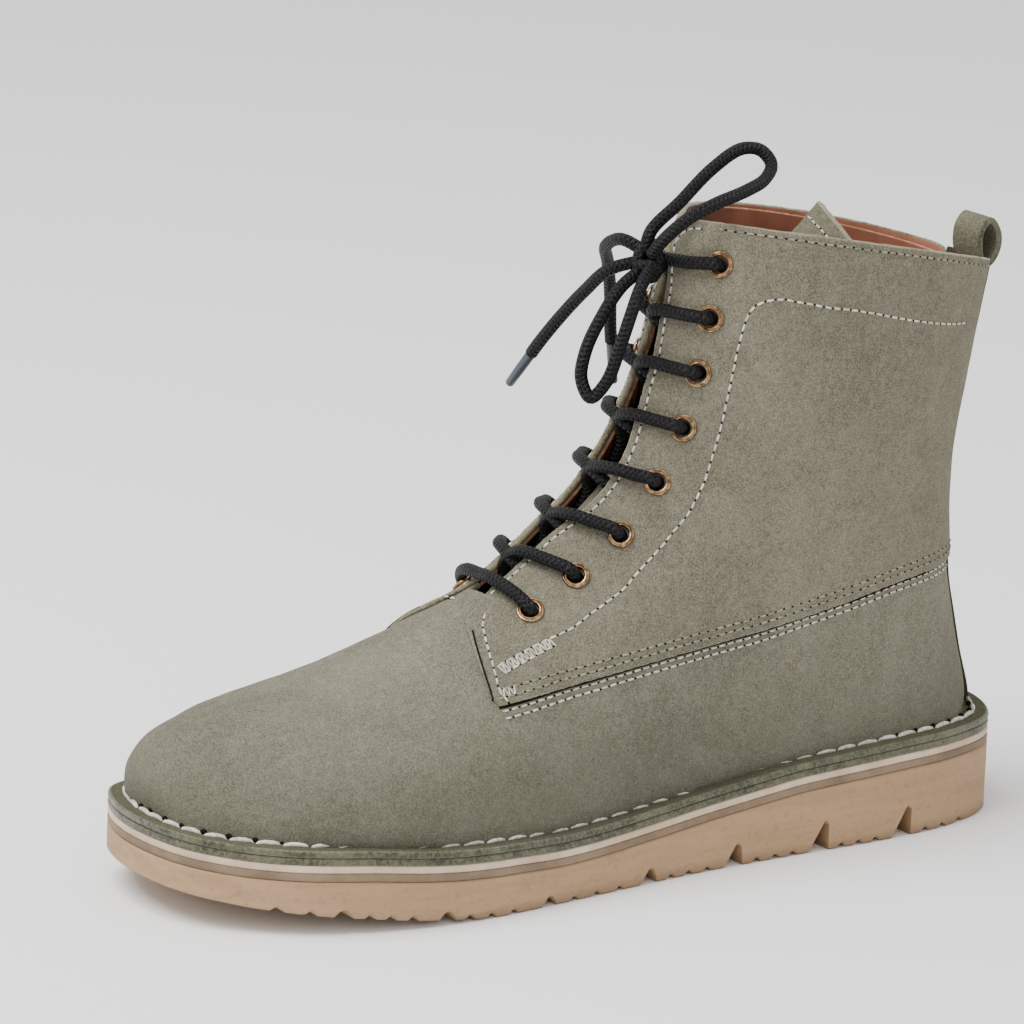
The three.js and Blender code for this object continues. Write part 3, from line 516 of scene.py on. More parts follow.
def clip(patch, field):
    """The part of a patch where a field of its values is positive, with clean edges."""
    values, triangles = patch
    level = field(values)
    inside = level >= 0
    count = inside[triangles].sum(1)
    kept = [triangles[count == 3]]
    added = []
    cuts = {}
    extra = []

    def cut(i, j):
        key = (min(i, j), max(i, j))
        if key not in cuts:
            share = level[i] / (level[i] - level[j])
            cuts[key] = len(values) + len(added)
            added.append(values[i] + (values[j] - values[i]) * share)
        return cuts[key]

    for triangle in triangles[(count == 1) | (count == 2)]:
        polygon = []
        for i, j in zip(triangle, np.roll(triangle, -1)):
            if inside[i]:
                polygon.append(i)
            if inside[i] != inside[j]:
                polygon.append(cut(i, j))
        extra += [(polygon[0], polygon[k], polygon[k + 1]) for k in range(1, len(polygon) - 1)]
    if added:
        values = np.vstack([values, added])
        kept.append(np.array(extra))
    triangles = np.vstack(kept)
    used, compact = np.unique(triangles, return_inverse=True)
    values = values[used]
    values[:, 3:6] /= np.maximum(np.linalg.norm(values[:, 3:6], axis=1, keepdims=True), 1e-9)
    return values, compact.reshape(-1, 3)


def polygon_field(polygon):
    """Signed distance in side view from a closed line of (y, z) points, positive inside."""
    corners = np.array(polygon, float)

    def field(values):
        p = values[:, 1:3]
        nearest = np.full(len(p), 1e9)
        inside = np.zeros(len(p), bool)
        for a, b in zip(corners, np.roll(corners, -1, 0)):
            share = np.clip(((p - a) @ (b - a)) / ((b - a) @ (b - a)), 0, 1)
            nearest = np.minimum(nearest, np.linalg.norm(p - a - share[:, None] * (b - a), axis=1))
            spans = (a[1] > p[:, 1]) != (b[1] > p[:, 1])
            rise = b[1] - a[1] if b[1] != a[1] else 1e-9
            inside ^= spans & (p[:, 0] < (b[0] - a[0]) * (p[:, 1] - a[1]) / rise + a[0])
        return np.where(inside, nearest, -nearest)

    return field


def outer_edges(triangles):
    """Edges that only one triangle has, in its direction."""
    edges = np.concatenate([triangles[:, [0, 1]], triangles[:, [1, 2]], triangles[:, [2, 0]]])
    keys = np.sort(edges, 1)
    _, index, counts = np.unique(keys, axis=0, return_index=True, return_counts=True)
    return edges[index[counts == 1]]


RIM_STEPS = 4


def shell(patch, lift, thickness, bulge=0.3, fuzz=0.0, seed=0):
    """Closed sheet over a patch: outer face, inner face and a rounded edge. Returns points, faces, kinds."""
    values, triangles = patch
    points, normals = values[:, :3], values[:, 3:6]
    lift = np.broadcast_to(lift, len(points))[:, None]
    thickness = np.broadcast_to(thickness, len(points))[:, None]
    edges = outer_edges(triangles)
    away = np.zeros_like(points)
    side = np.cross(points[edges[:, 1]] - points[edges[:, 0]], normals[edges[:, 0]])
    side /= np.maximum(np.linalg.norm(side, axis=1, keepdims=True), 1e-9)
    np.add.at(away, edges[:, 0], side)
    np.add.at(away, edges[:, 1], side)
    away /= np.maximum(np.linalg.norm(away, axis=1, keepdims=True), 1e-9)
    count = len(points)
    rim = np.unique(edges)
    number = np.zeros(count, int)
    number[rim] = np.arange(len(rim))
    outer = points + normals * lift
    inner = points + normals * (lift - thickness)
    blocks = [outer, inner]
    random = np.random.default_rng(seed)
    rough = random.uniform(-fuzz, fuzz, (RIM_STEPS - 1, len(rim), 1))
    for i in range(1, RIM_STEPS):
        angle = math.pi * i / RIM_STEPS
        down = thickness[rim] * (1 - math.cos(angle)) / 2
        out = thickness[rim] * bulge * math.sin(angle) + rough[i - 1]
        blocks.append(points[rim] + normals[rim] * (lift[rim] - down) + away[rim] * out)
    faces = [triangles, triangles[:, ::-1] + count]
    kinds = [np.zeros(len(triangles), int), np.full(len(triangles), 2)]
    ring = [edges] + [2 * count + i * len(rim) + number[edges] for i in range(RIM_STEPS - 1)] + [edges + count]
    for upper, lower in zip(ring, ring[1:]):
        faces.append(np.stack([upper[:, 1], upper[:, 0], lower[:, 0]], -1))
        faces.append(np.stack([upper[:, 1], lower[:, 0], lower[:, 1]], -1))
        kinds += [np.ones(len(edges), int)] * 2
    return np.vstack(blocks), np.vstack(faces), np.concatenate(kinds)


def make(name, points, faces, materials, kinds=None, crease=None, uv=None, weld=False):
    """Mesh object from points in mm, riding on the one body."""
    mesh = bpy.data.meshes.new(name)
    faces = [tuple(int(i) for i in face) for face in faces]
    mesh.from_pydata((np.asarray(points) * MM).tolist(), [], faces)
    for material in materials:
        mesh.materials.append(material)
    if kinds is not None:
        mesh.polygons.foreach_set("material_index", np.asarray(kinds, np.int32))
    if uv is not None:
        layer = mesh.uv_layers.new(name="UVMap")
        loops = np.zeros(len(mesh.loops), np.int32)
        mesh.loops.foreach_get("vertex_index", loops)
        layer.data.foreach_set("uv", np.asarray(uv, np.float32)[loops].ravel())
    mesh.validate()
    shape = bmesh.new()
    shape.from_mesh(mesh)
    if weld:
        bmesh.ops.remove_doubles(shape, verts=shape.verts, dist=0.02 * MM)
    bmesh.ops.recalc_face_normals(shape, faces=shape.faces)
    shape.to_mesh(mesh)
    shape.free()
    mesh.shade_smooth()
    if crease is not None:
        mesh.set_sharp_from_angle(angle=math.radians(crease))
    thing = bpy.data.objects.new(name, mesh)
    bpy.context.scene.collection.objects.link(thing)
    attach(thing, "root")
    return thing


def tube(line, radius, sides=12):
    """Tube with flat closed ends along a line: points, faces and coordinates (length run, share round)."""
    line = np.array(line, float)
    runs = np.gradient(line, axis=0)
    runs /= np.linalg.norm(runs, axis=1, keepdims=True)
    across = np.cross(runs[0], (0.3, 0.2, 0.9))
    across /= np.linalg.norm(across)
    points, marks = [], []
    length = np.concatenate([[0], np.cumsum(np.linalg.norm(np.diff(line, axis=0), axis=1))])
    angles = np.linspace(0, 2 * math.pi, sides + 1)
    radius = np.broadcast_to(radius, len(line))
    for p, run, mark, r in zip(line, runs, length, radius):
        across = across - run * (across @ run)
        across /= np.linalg.norm(across)
        other = np.cross(run, across)
        for angle in angles:
            points.append(p + (across * math.cos(angle) + other * math.sin(angle)) * r)
            marks.append((mark, angle / (2 * math.pi)))
    faces = []
    ring = sides + 1
    for i in range(len(line) - 1):
        for j in range(sides):
            a = i * ring + j
            faces.append((a, a + 1, a + 1 + ring, a + ring))
    faces.append(tuple(range(sides - 1, -1, -1)))
    faces.append(tuple((len(line) - 1) * ring + j for j in range(sides)))
    return points, faces, marks


def joined(parts):
    """Several (points, faces, marks) as one."""
    points, faces, marks = [], [], []
    for part in parts:
        start = len(points)
        points += list(part[0])
        marks += list(part[2])
        faces += [tuple(i + start for i in face) for face in part[1]]
    return points, faces, marks


# Materials
def blank(name, base, roughness, specular=0.5):
    """New material with its shader's plain values."""
    material = bpy.data.materials.new(name)
    material.use_nodes = True
    shader = material.node_tree.nodes["Principled BSDF"]
    shader.inputs["Base Color"].default_value = (*srgb(base), 1)
    shader.inputs["Roughness"].default_value = roughness
    shader.inputs["Specular IOR Level"].default_value = specular
    return material, shader


def srgb(code):
    """Linear colour of a hexadecimal screen colour."""
    shares = [int(code[i:i + 2], 16) / 255 for i in (0, 2, 4)]
    return tuple(c / 12.92 if c <= 0.04045 else ((c + 0.055) / 1.055) ** 2.4 for c in shares)


def coordinates(material):
    return node(material, "ShaderNodeTexCoord").outputs["Object"]


def node(material, kind, **values):
    """New shader node with values on its inputs or properties."""
    made = material.node_tree.nodes.new(kind)
    for name, value in values.items():
        if hasattr(made, name):
            setattr(made, name, value)
        else:
            made.inputs[name.replace("_", " ").title()].default_value = value
    return made


def link(material, out, into):
    material.node_tree.links.new(out, into)


def noise(material, vector, scale, detail=3, roughness=0.55, distortion=0.0):
    """Noise texture's value over coordinates in metres."""
    texture = node(material, "ShaderNodeTexNoise")
    texture.inputs["Scale"].default_value = scale
    texture.inputs["Detail"].default_value = detail
    texture.inputs["Roughness"].default_value = roughness
    texture.inputs["Distortion"].default_value = distortion
    link(material, vector, texture.inputs["Vector"])
    return texture.outputs["Fac"]


def ramp(material, value, low, high, out_low=0.0, out_high=1.0):
    """Value spread from a low and a high to two others, held at its ends."""
    spread = node(material, "ShaderNodeMapRange", clamp=True, interpolation_type="SMOOTHSTEP")
    for name, number in (("From Min", low), ("From Max", high), ("To Min", out_low), ("To Max", out_high)):
        spread.inputs[name].default_value = number
    link(material, value, spread.inputs["Value"])
    return spread.outputs["Result"]


def mixed(material, share, first, second, blend="MIX"):
    """Two colours mixed by a share; each is a code or a socket."""
    mix = node(material, "ShaderNodeMix", data_type="RGBA", blend_type=blend)
    a, b = mix.inputs[6], mix.inputs[7]
    for socket, colour in ((a, first), (b, second)):
        if isinstance(colour, str):
            socket.default_value = (*srgb(colour), 1)
        else:
            link(material, colour, socket)
    if isinstance(share, (int, float)):
        mix.inputs[0].default_value = share
    else:
        link(material, share, mix.inputs[0])
    return mix.outputs[2]


def math_node(material, operation, first, second=None):
    made = node(material, "ShaderNodeMath", operation=operation)
    for socket, value in zip(made.inputs, (first, second)):
        if value is None:
            continue
        if isinstance(value, (int, float)):
            socket.default_value = value
        else:
            link(material, value, socket)
    return made.outputs["Value"]


def bumped(material, shader, heights):
    """Chain of bumps: (height socket, distance in metres, strength)."""
    normal = None
    for height, distance, strength in heights:
        bump = node(material, "ShaderNodeBump")
        bump.inputs["Distance"].default_value = distance
        bump.inputs["Strength"].default_value = strength
        link(material, height, bump.inputs["Height"])
        if normal is not None:
            link(material, normal, bump.inputs["Normal"])
        normal = bump.outputs["Normal"]
    link(material, normal, shader.inputs["Normal"])


def height_of(material):
    """Height above the floor in metres."""
    split = node(material, "ShaderNodeSeparateXYZ")
    link(material, coordinates(material), split.inputs[0])
    return split.outputs["Z"]


def suede(name, light, middle, dark, brown, brown_share, nap=1.0):
    """Brushed suede: mottled nap at several scales, brown scuffs, a soft sheen, and painted shade that darkens it
    towards the floor.
    """
    material, shader = blank(name, middle, 1.0, 0.12)
    place = coordinates(material)
    broad = ramp(material, noise(material, place, 15, 3, 0.6, 0.4), 0.32, 0.68)
    patches = ramp(material, noise(material, place, 44, 5, 0.62, 0.9), 0.34, 0.7)
    fine = ramp(material, noise(material, place, 420, 4, 0.75), 0.36, 0.64)
    grain = noise(material, place, 2100, 3, 0.8)
    tone = mixed(material, ramp(material, broad, 0, 1, 0.3, 1), dark, middle)
    tone = mixed(material, math_node(material, "MULTIPLY", patches, 0.5), tone, light)
    tone = mixed(material, 0.28 * nap, tone, mixed(material, fine, dark, light))
    scuffs = ramp(material, noise(material, place, 27, 5, 0.62, 1.2), 0.5, 0.74)
    tone = mixed(material, math_node(material, "MULTIPLY", scuffs, brown_share), tone, brown)
    fleck = ramp(material, grain, 0.4, 0.62)
    tone = mixed(material, 0.5 * nap, tone, mixed(material, fleck, dark, light))
    # Painted shade: the suede is darkened from 75 mm down to 26 mm above the floor, where less light reaches it.
    low = ramp(material, height_of(material), 0.026, 0.075, 0.42, 0.0)
    tone = mixed(material, low, tone, dark)
    link(material, tone, shader.inputs["Base Color"])
    shader.inputs["Sheen Weight"].default_value = 0.35
    shader.inputs["Sheen Roughness"].default_value = 0.55
    shader.inputs["Sheen Tint"].default_value = (*srgb(light), 1)
    bumped(material, shader, [
        (patches, 0.0006, 0.22),
        (fine, 0.0004, 0.5),
        (grain, 0.0003, 0.85),
    ])
    return material


def edge_suede(name, dark, light, fibre):
    """Cut edge of the suede: pale fibres along two layers."""
    material, shader = blank(name, light, 1.0, 0.1)
    place = coordinates(material)
    fibres = noise(material, place, 900, 3, 0.7)
    broad = noise(material, place, 70, 3, 0.6)
    tone = mixed(material, ramp(material, broad, 0.35, 0.65), dark, light)
    tone = mixed(material, math_node(material, "MULTIPLY", ramp(material, fibres, 0.4, 0.62), 0.5), tone, fibre)
    link(material, tone, shader.inputs["Base Color"])
    shader.inputs["Sheen Weight"].default_value = 0.3
    bumped(material, shader, [(fibres, 0.0004, 0.8)])
    return material


def lining_material():
    material, shader = blank("lining", "7e4a36", 0.62, 0.3)
    place = coordinates(material)
    tone = mixed(material, ramp(material, noise(material, place, 30, 3, 0.6), 0.35, 0.65), "6c3f2e", "8a5640")
    link(material, tone, shader.inputs["Base Color"])
    bumped(material, shader, [(noise(material, place, 700, 3, 0.6), 0.0002, 0.35)])
    return material


def rubber(name, light, dark, scale, roughness=0.75):
    material, shader = blank(name, light, roughness, 0.35)
    place = coordinates(material)
    tone = mixed(material, ramp(material, noise(material, place, scale, 4, 0.65), 0.36, 0.66), dark, light)
    link(material, tone, shader.inputs["Base Color"])
    bumped(material, shader, [(noise(material, place, 420, 4, 0.65), 0.0003, 0.4)])
    return material


def crepe():
    """Tan outsole: faint flow lines along the sole, darker towards its lower edge."""
    material, shader = blank("crepe_sole", "b3967a", 0.7, 0.35)
    place = coordinates(material)
    stretch = node(material, "ShaderNodeMapping")
    stretch.inputs["Scale"].default_value = (1, 0.3, 3.2)
    link(material, place, stretch.inputs["Vector"])
    streaks = ramp(material, noise(material, stretch.outputs["Vector"], 90, 4, 0.65), 0.34, 0.68)
    spots = ramp(material, noise(material, place, 420, 4, 0.7), 0.5, 0.72)
    tone = mixed(material, streaks, "9b7e5f", "a78868")
    tone = mixed(material, math_node(material, "MULTIPLY", spots, 0.35), tone, "73593f")
    # Darker towards the bottom, over the sole's lowest 4.5 mm.
    low = ramp(material, height_of(material), 0.0, 0.0045, 0.55, 0.0)
    tone = mixed(material, low, tone, "6b543d")
    link(material, tone, shader.inputs["Base Color"])
    bumped(material, shader, [
        (streaks, 0.0003, 0.25),
        (noise(material, place, 800, 4, 0.7), 0.00025, 0.45),
    ])
    return material


def brass():
    material, shader = blank("brass", "a98b6a", 0.3, 0.5)
    shader.inputs["Metallic"].default_value = 1
    place = coordinates(material)
    tone = mixed(material, ramp(material, noise(material, place, 700, 3, 0.6), 0.4, 0.66), "7d6248", "bd9c78")
    link(material, tone, shader.inputs["Base Color"])
    return material


def lace_material():
    """Waxed black cord: herringbone of plaits along the tube."""
    material, shader = blank("lace", "08080a", 0.55, 0.22)
    split = node(material, "ShaderNodeSeparateXYZ")
    link(material, node(material, "ShaderNodeTexCoord").outputs["UV"], split.inputs[0])
    along_cord = math_node(material, "MULTIPLY", split.outputs["X"], 2 * math.pi / 1.6)
    around = math_node(material, "MULTIPLY", split.outputs["Y"], 2 * math.pi * 4)
    one = math_node(material, "SINE", math_node(material, "ADD", along_cord, around))
    two = math_node(material, "SINE", math_node(material, "SUBTRACT", along_cord, around))
    plaits = math_node(material, "MAXIMUM", one, two)
    specks = ramp(material, noise(material, coordinates(material), 1900, 2, 0.6), 0.56, 0.7)
    tone = mixed(material, ramp(material, plaits, 0.0, 1.0), "020203", "0d0d0f")
    tone = mixed(material, math_node(material, "MULTIPLY", specks, 0.4), tone, "4a484c")
    link(material, tone, shader.inputs["Base Color"])
    bumped(material, shader, [(plaits, 0.0004, 0.8)])
    return material


def thread(name, light, dark):
    material, shader = blank(name, light, 0.8, 0.2)
    place = coordinates(material)
    tone = mixed(material, ramp(material, noise(material, place, 500, 3, 0.6), 0.4, 0.65), dark, light)
    link(material, tone, shader.inputs["Base Color"])
    return material


def plain(name, code, roughness, specular=0.4):
    return blank(name, code, roughness, specular)[0]


VAMP_SUEDE = suede("vamp_suede", "928f7e", "6b6958", "403f34", "66553f", 0.4)
QUARTER_SUEDE = suede("quarter_suede", "928d7b", "6f6a5a", "433f34", "5d4a37", 0.55)
TONGUE_SUEDE = suede("tongue_suede", "827e6b", "5d5949", "3b382c", "5c4a36", 0.3)
WELT_SUEDE = suede("welt_suede", "75725c", "565442", "38372a", "4e4231", 0.3)
# Painted shade: a darker copy of the suede for the backstay strip, which is seen edge-on in shadow.
SHADED_STRIP_SUEDE = suede("shaded_strip_suede", "4c4a3c", "38362b", "26251d", "3e3226", 0.3)
SUEDE_EDGE = edge_suede("suede_edge", "57523e", "7b745e", "948b72")
WELT_EDGE = edge_suede("welt_edge", "3a3a2c", "5a5946", "77745f")
LINING = lining_material()
LINING_EDGE = thread("lining_edge", "a98367", "8a674d")
CREAM = rubber("cream_rubber", "cdb9a2", "b7a189", 60)
BROWN = rubber("brown_rubber", "84705b", "6f5d4a", 60)
CREPE = crepe()
BRASS = brass()
LACE = lace_material()
AGLET = plain("aglet", "3c414c", 0.28, 0.5)
PALE_THREAD = thread("pale_thread", "dad6c8", "aeab9c")
GREY_THREAD = thread("grey_thread", "94937f", "6f6e5c")
# Painted shade: near-black for the needle holes, the shadow under the quarter's edge and the welt's pits.
HOLE_SHADE = plain("stitch_hole_shade", "1c1b16", 1.0, 0.0)

EDGES = [VAMP_SUEDE, SUEDE_EDGE, LINING]


# Camera, floor and lights
def camera():
    azimuth, elevation, roll = (math.radians(a) for a in (CAMERA_AZIMUTH, CAMERA_ELEVATION, CAMERA_ROLL))
    back = Vector((
        math.sin(azimuth) * math.cos(elevation),
        -math.cos(azimuth) * math.cos(elevation),
        math.sin(elevation),
    ))
    right = (-back).cross(Vector((0, 0, 1))).normalized()
    up = right.cross(-back)
    turned_right = math.cos(roll) * right + math.sin(roll) * up
    turned_up = -math.sin(roll) * right + math.cos(roll) * up
    data = bpy.data.cameras.new("camera")
    data.sensor_width = SENSOR
    data.lens = SENSOR * CAMERA_FOCAL
    thing = bpy.data.objects.new("camera", data)
    bpy.context.scene.collection.objects.link(thing)
    place = Matrix((turned_right, turned_up, back)).transposed().to_4x4()
    place.translation = CAMERA_TARGET + back * CAMERA_DISTANCE
    thing.matrix_world = place
    bpy.context.scene.camera = thing


def floor():
    size = 6
    mesh = bpy.data.meshes.new("floor")
    mesh.from_pydata([(-size, -size, 0), (size, -size, 0), (size, size, 0), (-size, size, 0)], [], [(0, 1, 2, 3)])
    mesh.materials.append(plain("floor", "f2f2f1", 0.9, 0.15))
    thing = bpy.data.objects.new("floor", mesh)
    bpy.context.scene.collection.objects.link(thing)


def soft_light(name, place, size, power, target=(0, 0, 0.08), colour=(1, 1, 1)):
    data = bpy.data.lights.new(name, "AREA")
    data.energy = power
    data.size = size
    data.color = colour
    thing = bpy.data.objects.new(name, data)
    bpy.context.scene.collection.objects.link(thing)
    thing.location = place
    thing.rotation_euler = (Vector(target) - Vector(place)).to_track_quat("-Z", "Y").to_euler()


def lights():
    world = bpy.data.worlds.new("studio")
    bpy.context.scene.world = world
    world.use_nodes = True
    world.node_tree.nodes["Background"].inputs["Color"].default_value = (1, 1, 1, 1)
    world.node_tree.nodes["Background"].inputs["Strength"].default_value = 1.05
    soft_light("key", (-0.15, -0.8, 1.6), 1.2, 44)
    soft_light("side", (1.5, -0.6, 0.9), 1.2, 5)


# Upper
def relief(points):
    """Soft unevenness of the suede, in mm along the outward direction."""
    height = 0.3 * waves(points, 38, 3) + 0.12 * waves(points, 14, 5)
    for centre, size, amount in DENTS:
        away = (points - np.array(centre)) / np.array(size)
        height += amount * np.exp(-(away ** 2).sum(1))
    return height


QUARTER_TOP = SEAT + 1.2 * UPPER_HEIGHT
QUARTER_AREA = polygon_field(
    TAB_EDGE + LOWER_EDGE + [(1.2 * HALF_LENGTH, 84.7), (1.2 * HALF_LENGTH, QUARTER_TOP), (-38.6, QUARTER_TOP)]
)
CORNER_RADIUS = 7
SEATS = {
    side: [(section, EYELET_REACH * reach) for section, reach in EYELETS] for side in ("lateral", "medial")
}
VAMP_UNDERLAP = 7
SEAM_WIDTH = 9


def throat_field(start, widen=0.0):
    """Field that cuts the throat above a section, its edges moved back by a distance."""
    def field(values):
        return np.maximum(facing_field(values) - widen, (start - values[:, SECTION_COLUMN]) * 12)

    return field


def facing_field(values):
    """Distance behind the nearer facing's edge."""
    section = values[:, SECTION_COLUMN]
    beside = values[:, RIDGE_COLUMN]
    return np.maximum(beside - along(FACING_EDGES, 1, section), -beside - along(FACING_EDGES, 2, section))


def rounded(one, other, radius):
    """Two fields' common part with its corner rounded."""
    corner = radius - np.hypot(radius - one, radius - other)
    return np.where((one < radius) & (other < radius), corner, np.minimum(one, other))


def quarter_field(values):
    facing = facing_field(values)
    edge = rounded(QUARTER_AREA(values), facing, CORNER_RADIUS)
    collar = (COLLAR - values[:, SECTION_COLUMN]) * 9.2 + 0.01
    return np.minimum(edge, rounded(facing, collar, CORNER_RADIUS))


def above_sole(values):
    return values[:, 2] - sole_top(values[:, 1]) - 0.25


def hole_field(values):
    nearest = np.full(len(values), 1e9)
    for side, seats in SEATS.items():
        for section, distance in seats:
            centre = on_surface(section, side, distance, 0)
            nearest = np.minimum(nearest, np.linalg.norm(values[:, :3] - centre, axis=1))
    return nearest - 3.05


def vamp(last):
    patch = clip(last, above_sole)
    patch = clip(patch, lambda values: VAMP_UNDERLAP - QUARTER_AREA(values))
    patch = clip(patch, throat_field(THROAT_START))
    points, faces, kinds = shell(patch, relief(patch[0][:, :3]), WALL, 0.25, 0.1, 11)
    return make("vamp", points, faces, [VAMP_SUEDE, SUEDE_EDGE, LINING], kinds)


def quarter(last):
    patch = clip(last, above_sole)
    patch = clip(patch, quarter_field)
    patch = clip(patch, hole_field)
    values = patch[0]
    seam = np.clip((QUARTER_AREA(values) - SEAM_WIDTH + 2) / 3, 0, 1)
    lift = OVERLAY + relief(values[:, :3])
    points, faces, kinds = shell(patch, lift, 1.25 + 0.75 * seam, 0.3, 0.13, 12)
    return make("quarter", points, faces, [QUARTER_SUEDE, SUEDE_EDGE, LINING], kinds)


def lining(last):
    patch = clip(last, lambda values: values[:, SECTION_COLUMN] - THROAT_START + 0.4)
    patch = clip(patch, lambda values: COLLAR - 0.06 - values[:, SECTION_COLUMN])
    patch = clip(patch, throat_field(THROAT_START - 2, 1.0))
    patch = clip(patch, hole_field)
    patch = clip(patch, above_sole)
    points, faces, kinds = shell(patch, -0.8 + relief(patch[0][:, :3]), 1.2, 0.3, 0.05, 13)
    return make("lining", points, faces, [LINING, LINING_EDGE, LINING], kinds)


# Sole
def ring(rows, inset, height):
    """Closed loop of the outline at rows, moved in by an inset, at a height over y."""
    lateral = outline_points(rows, "lateral", inset)
    medial = outline_points(rows, "medial", inset)[::-1]
    flat = np.vstack([lateral, medial])
    return np.column_stack([flat, height(flat[:, 1])])


def grid_faces(rows, columns, start=0):
    index = np.arange(rows * columns).reshape(rows, columns) + start
    quads = np.stack([index[:-1, :-1], index[:-1, 1:], index[1:, 1:], index[1:, :-1]], -1)
    return [tuple(q) for q in quads.reshape(-1, 4)]


CAP_COLUMNS = 9


def cap(rows, inset, height):
    """Points and faces that fill the outline from side to side."""
    lateral = outline_points(rows, "lateral", inset)
    medial = outline_points(rows, "medial", inset)
    shares = np.linspace(0, 1, CAP_COLUMNS)[None, :, None]
    flat = (lateral[:, None] * (1 - shares) + medial[:, None] * shares).reshape(-1, 2)
    return np.column_stack([flat, height(flat[:, 1])]), grid_faces(len(rows), CAP_COLUMNS)


def plate(name, rows, loops, materials, filled=True, kinds=None):
    """Body between loops of (inset, height function), each with its material's number."""
    rings = [ring(rows, inset, height) for inset, height in loops]
    points = [p for loop in rings for p in loop]
    faces = []
    marks = []
    count = len(rings[0])
    for i in range(len(rings) - 1 + (0 if filled else 1)):
        upper = (i + 1) % len(rings)
        for j in range(count):
            k = (j + 1) % count
            faces.append((i * count + j, i * count + k, upper * count + k, upper * count + j))
            marks.append(kinds[i] if kinds else 0)
    if filled:
        for inset, height in (loops[0], loops[-1]):
            more, quads = cap(rows, inset, height)
            start = len(points)
            points += list(more)
            faces += [tuple(i + start for i in quad) for quad in quads]
            marks += [0] * len(quads)
    thing = make(name, points, faces, materials, marks, 35, weld=True)
    return thing


def even_rows(step):
    """Row numbers of the outline at about even distances."""
    rows = np.linspace(0, len(OUTLINE) - 1, 1201)
    line = outline_points(rows, "lateral")
    run = np.concatenate([[0], np.cumsum(np.linalg.norm(np.diff(line, axis=0), axis=1))])
    return np.interp(np.linspace(0, run[-1], int(run[-1] / step)), run, rows)


def groove_profile(place, depth, width, lean):
    """Corners (y, depth) of a groove at the tread."""
    y = place * SOLE_LENGTH - HALF_LENGTH
    lip = 3
    half = width / 2
    spread = half * (1 + lip / depth)
    share = lip / (lip + 0.85 * depth)
    left = -spread + (spread - 0.25 * half + lean) * share
    right = spread + (0.45 * half + lean - spread) * share
    steps = [left, lean - 0.25 * half, lean + 0.1 * half, max(lean + 0.45 * half, lean + 0.1 * half + 0.05)]
    steps.append(max(right, steps[-1] + 0.05))
    return [y + s for s in steps], [0, 0.85 * depth, depth, 0.85 * depth, 0]


def tread(y):
    height = tread_height(y)
    for row in GROOVES:
        places, depths = groove_profile(*row)
        height = height + np.interp(y, places, depths)
    return height


def outsole():
    rows = np.linspace(0, len(OUTLINE) - 1, 1201)
    y = outline_points(rows, "lateral")[:, 1]
    corners = [p for row in GROOVES for place in groove_profile(*row)[0] for p in (place,)]
    dense = np.unique(np.concatenate([even_rows(1.6), np.interp(corners, y, rows)]))
    loops = [
        (0.7, tread),
        (0.0, lambda y: tread(y) + 0.7),
        (0.0, lambda y: outsole_top(y) - 0.5),
        (0.5, outsole_top),
    ]
    thing = plate("outsole_tread", dense, loops, [CREPE])
    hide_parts("outsole")


def soft_plate(name, low, high, material, bulge=0.35, edge=None):
    """Thin layer of the sole with a rounded edge."""
    middle = (low + high) / 2
    low -= LAYER_GAP / 2
    high += LAYER_GAP / 2
    loops = [
        (bulge * 1.4, lambda y: sole_top(y) + low),
        (bulge * 0.5, lambda y: sole_top(y) + low + (high - low) * 0.12),
        (0.0, lambda y: sole_top(y) + middle),
        (bulge * 0.5, lambda y: sole_top(y) + high - (high - low) * 0.12),
        (bulge * 1.4, lambda y: sole_top(y) + high),
    ]
    kinds = [1] * 4 if edge else None
    thing = plate(name + "_layer", even_rows(1.5), loops, [material, edge] if edge else [material], True, kinds)
    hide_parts(name)
    return thing


def flange():
    """Turned-out edge of the upper on the welt."""
    low, high = CLEARANCE / 2, CLEARANCE + FLANGE_THICKNESS
    wide = FLANGE_WIDTH + 3
    steps = [(wide, low), (0.8, low), (0.2, low + 0.35), (0.0, low + 1), (0.2, high - 0.35), (0.9, high), (wide, high)]
    loops = [(inset, lambda y, rise=rise: sole_top(y) + rise) for inset, rise in steps]
    kinds = [0, 1, 1, 1, 1, 0, 0]
    return plate("flange", even_rows(1.2), loops, [WELT_SUEDE, WELT_EDGE], False, kinds)


def soles():
    outsole()
    soft_plate("midsole", -MIDSOLE_TOP_DROP - MIDSOLE_THICKNESS, -MIDSOLE_TOP_DROP, BROWN)
    soft_plate("runner", -RUNNER_TOP_DROP - RUNNER_THICKNESS, -RUNNER_TOP_DROP, CREAM)
    soft_plate("welt", -WELT_THICKNESS, 0, WELT_SUEDE, 0.5, WELT_EDGE)


# Tongue, backstay and pull loop
def flattened(line, section, reaches):
    """Row of the tongue, drawn flat towards its top, its inner corner up and its outer corner down."""
    share = np.clip((section - 15.5) / 3.6, 0, 1)
    share = share * share * (3 - 2 * share)
    straight = line[0, 1] + (line[-1, 1] - line[0, 1]) * (reaches + 1) / 2
    line[:, 1] += (straight - line[:, 1]) * share * 0.85
    line[:, 1] -= share * 8
    line[:, 2] += share * (-3 - 8.5 * reaches)
    line[:, 3] *= 1 - share
    line[:, 3:6] /= np.linalg.norm(line[:, 3:6], axis=1, keepdims=True)
    return line


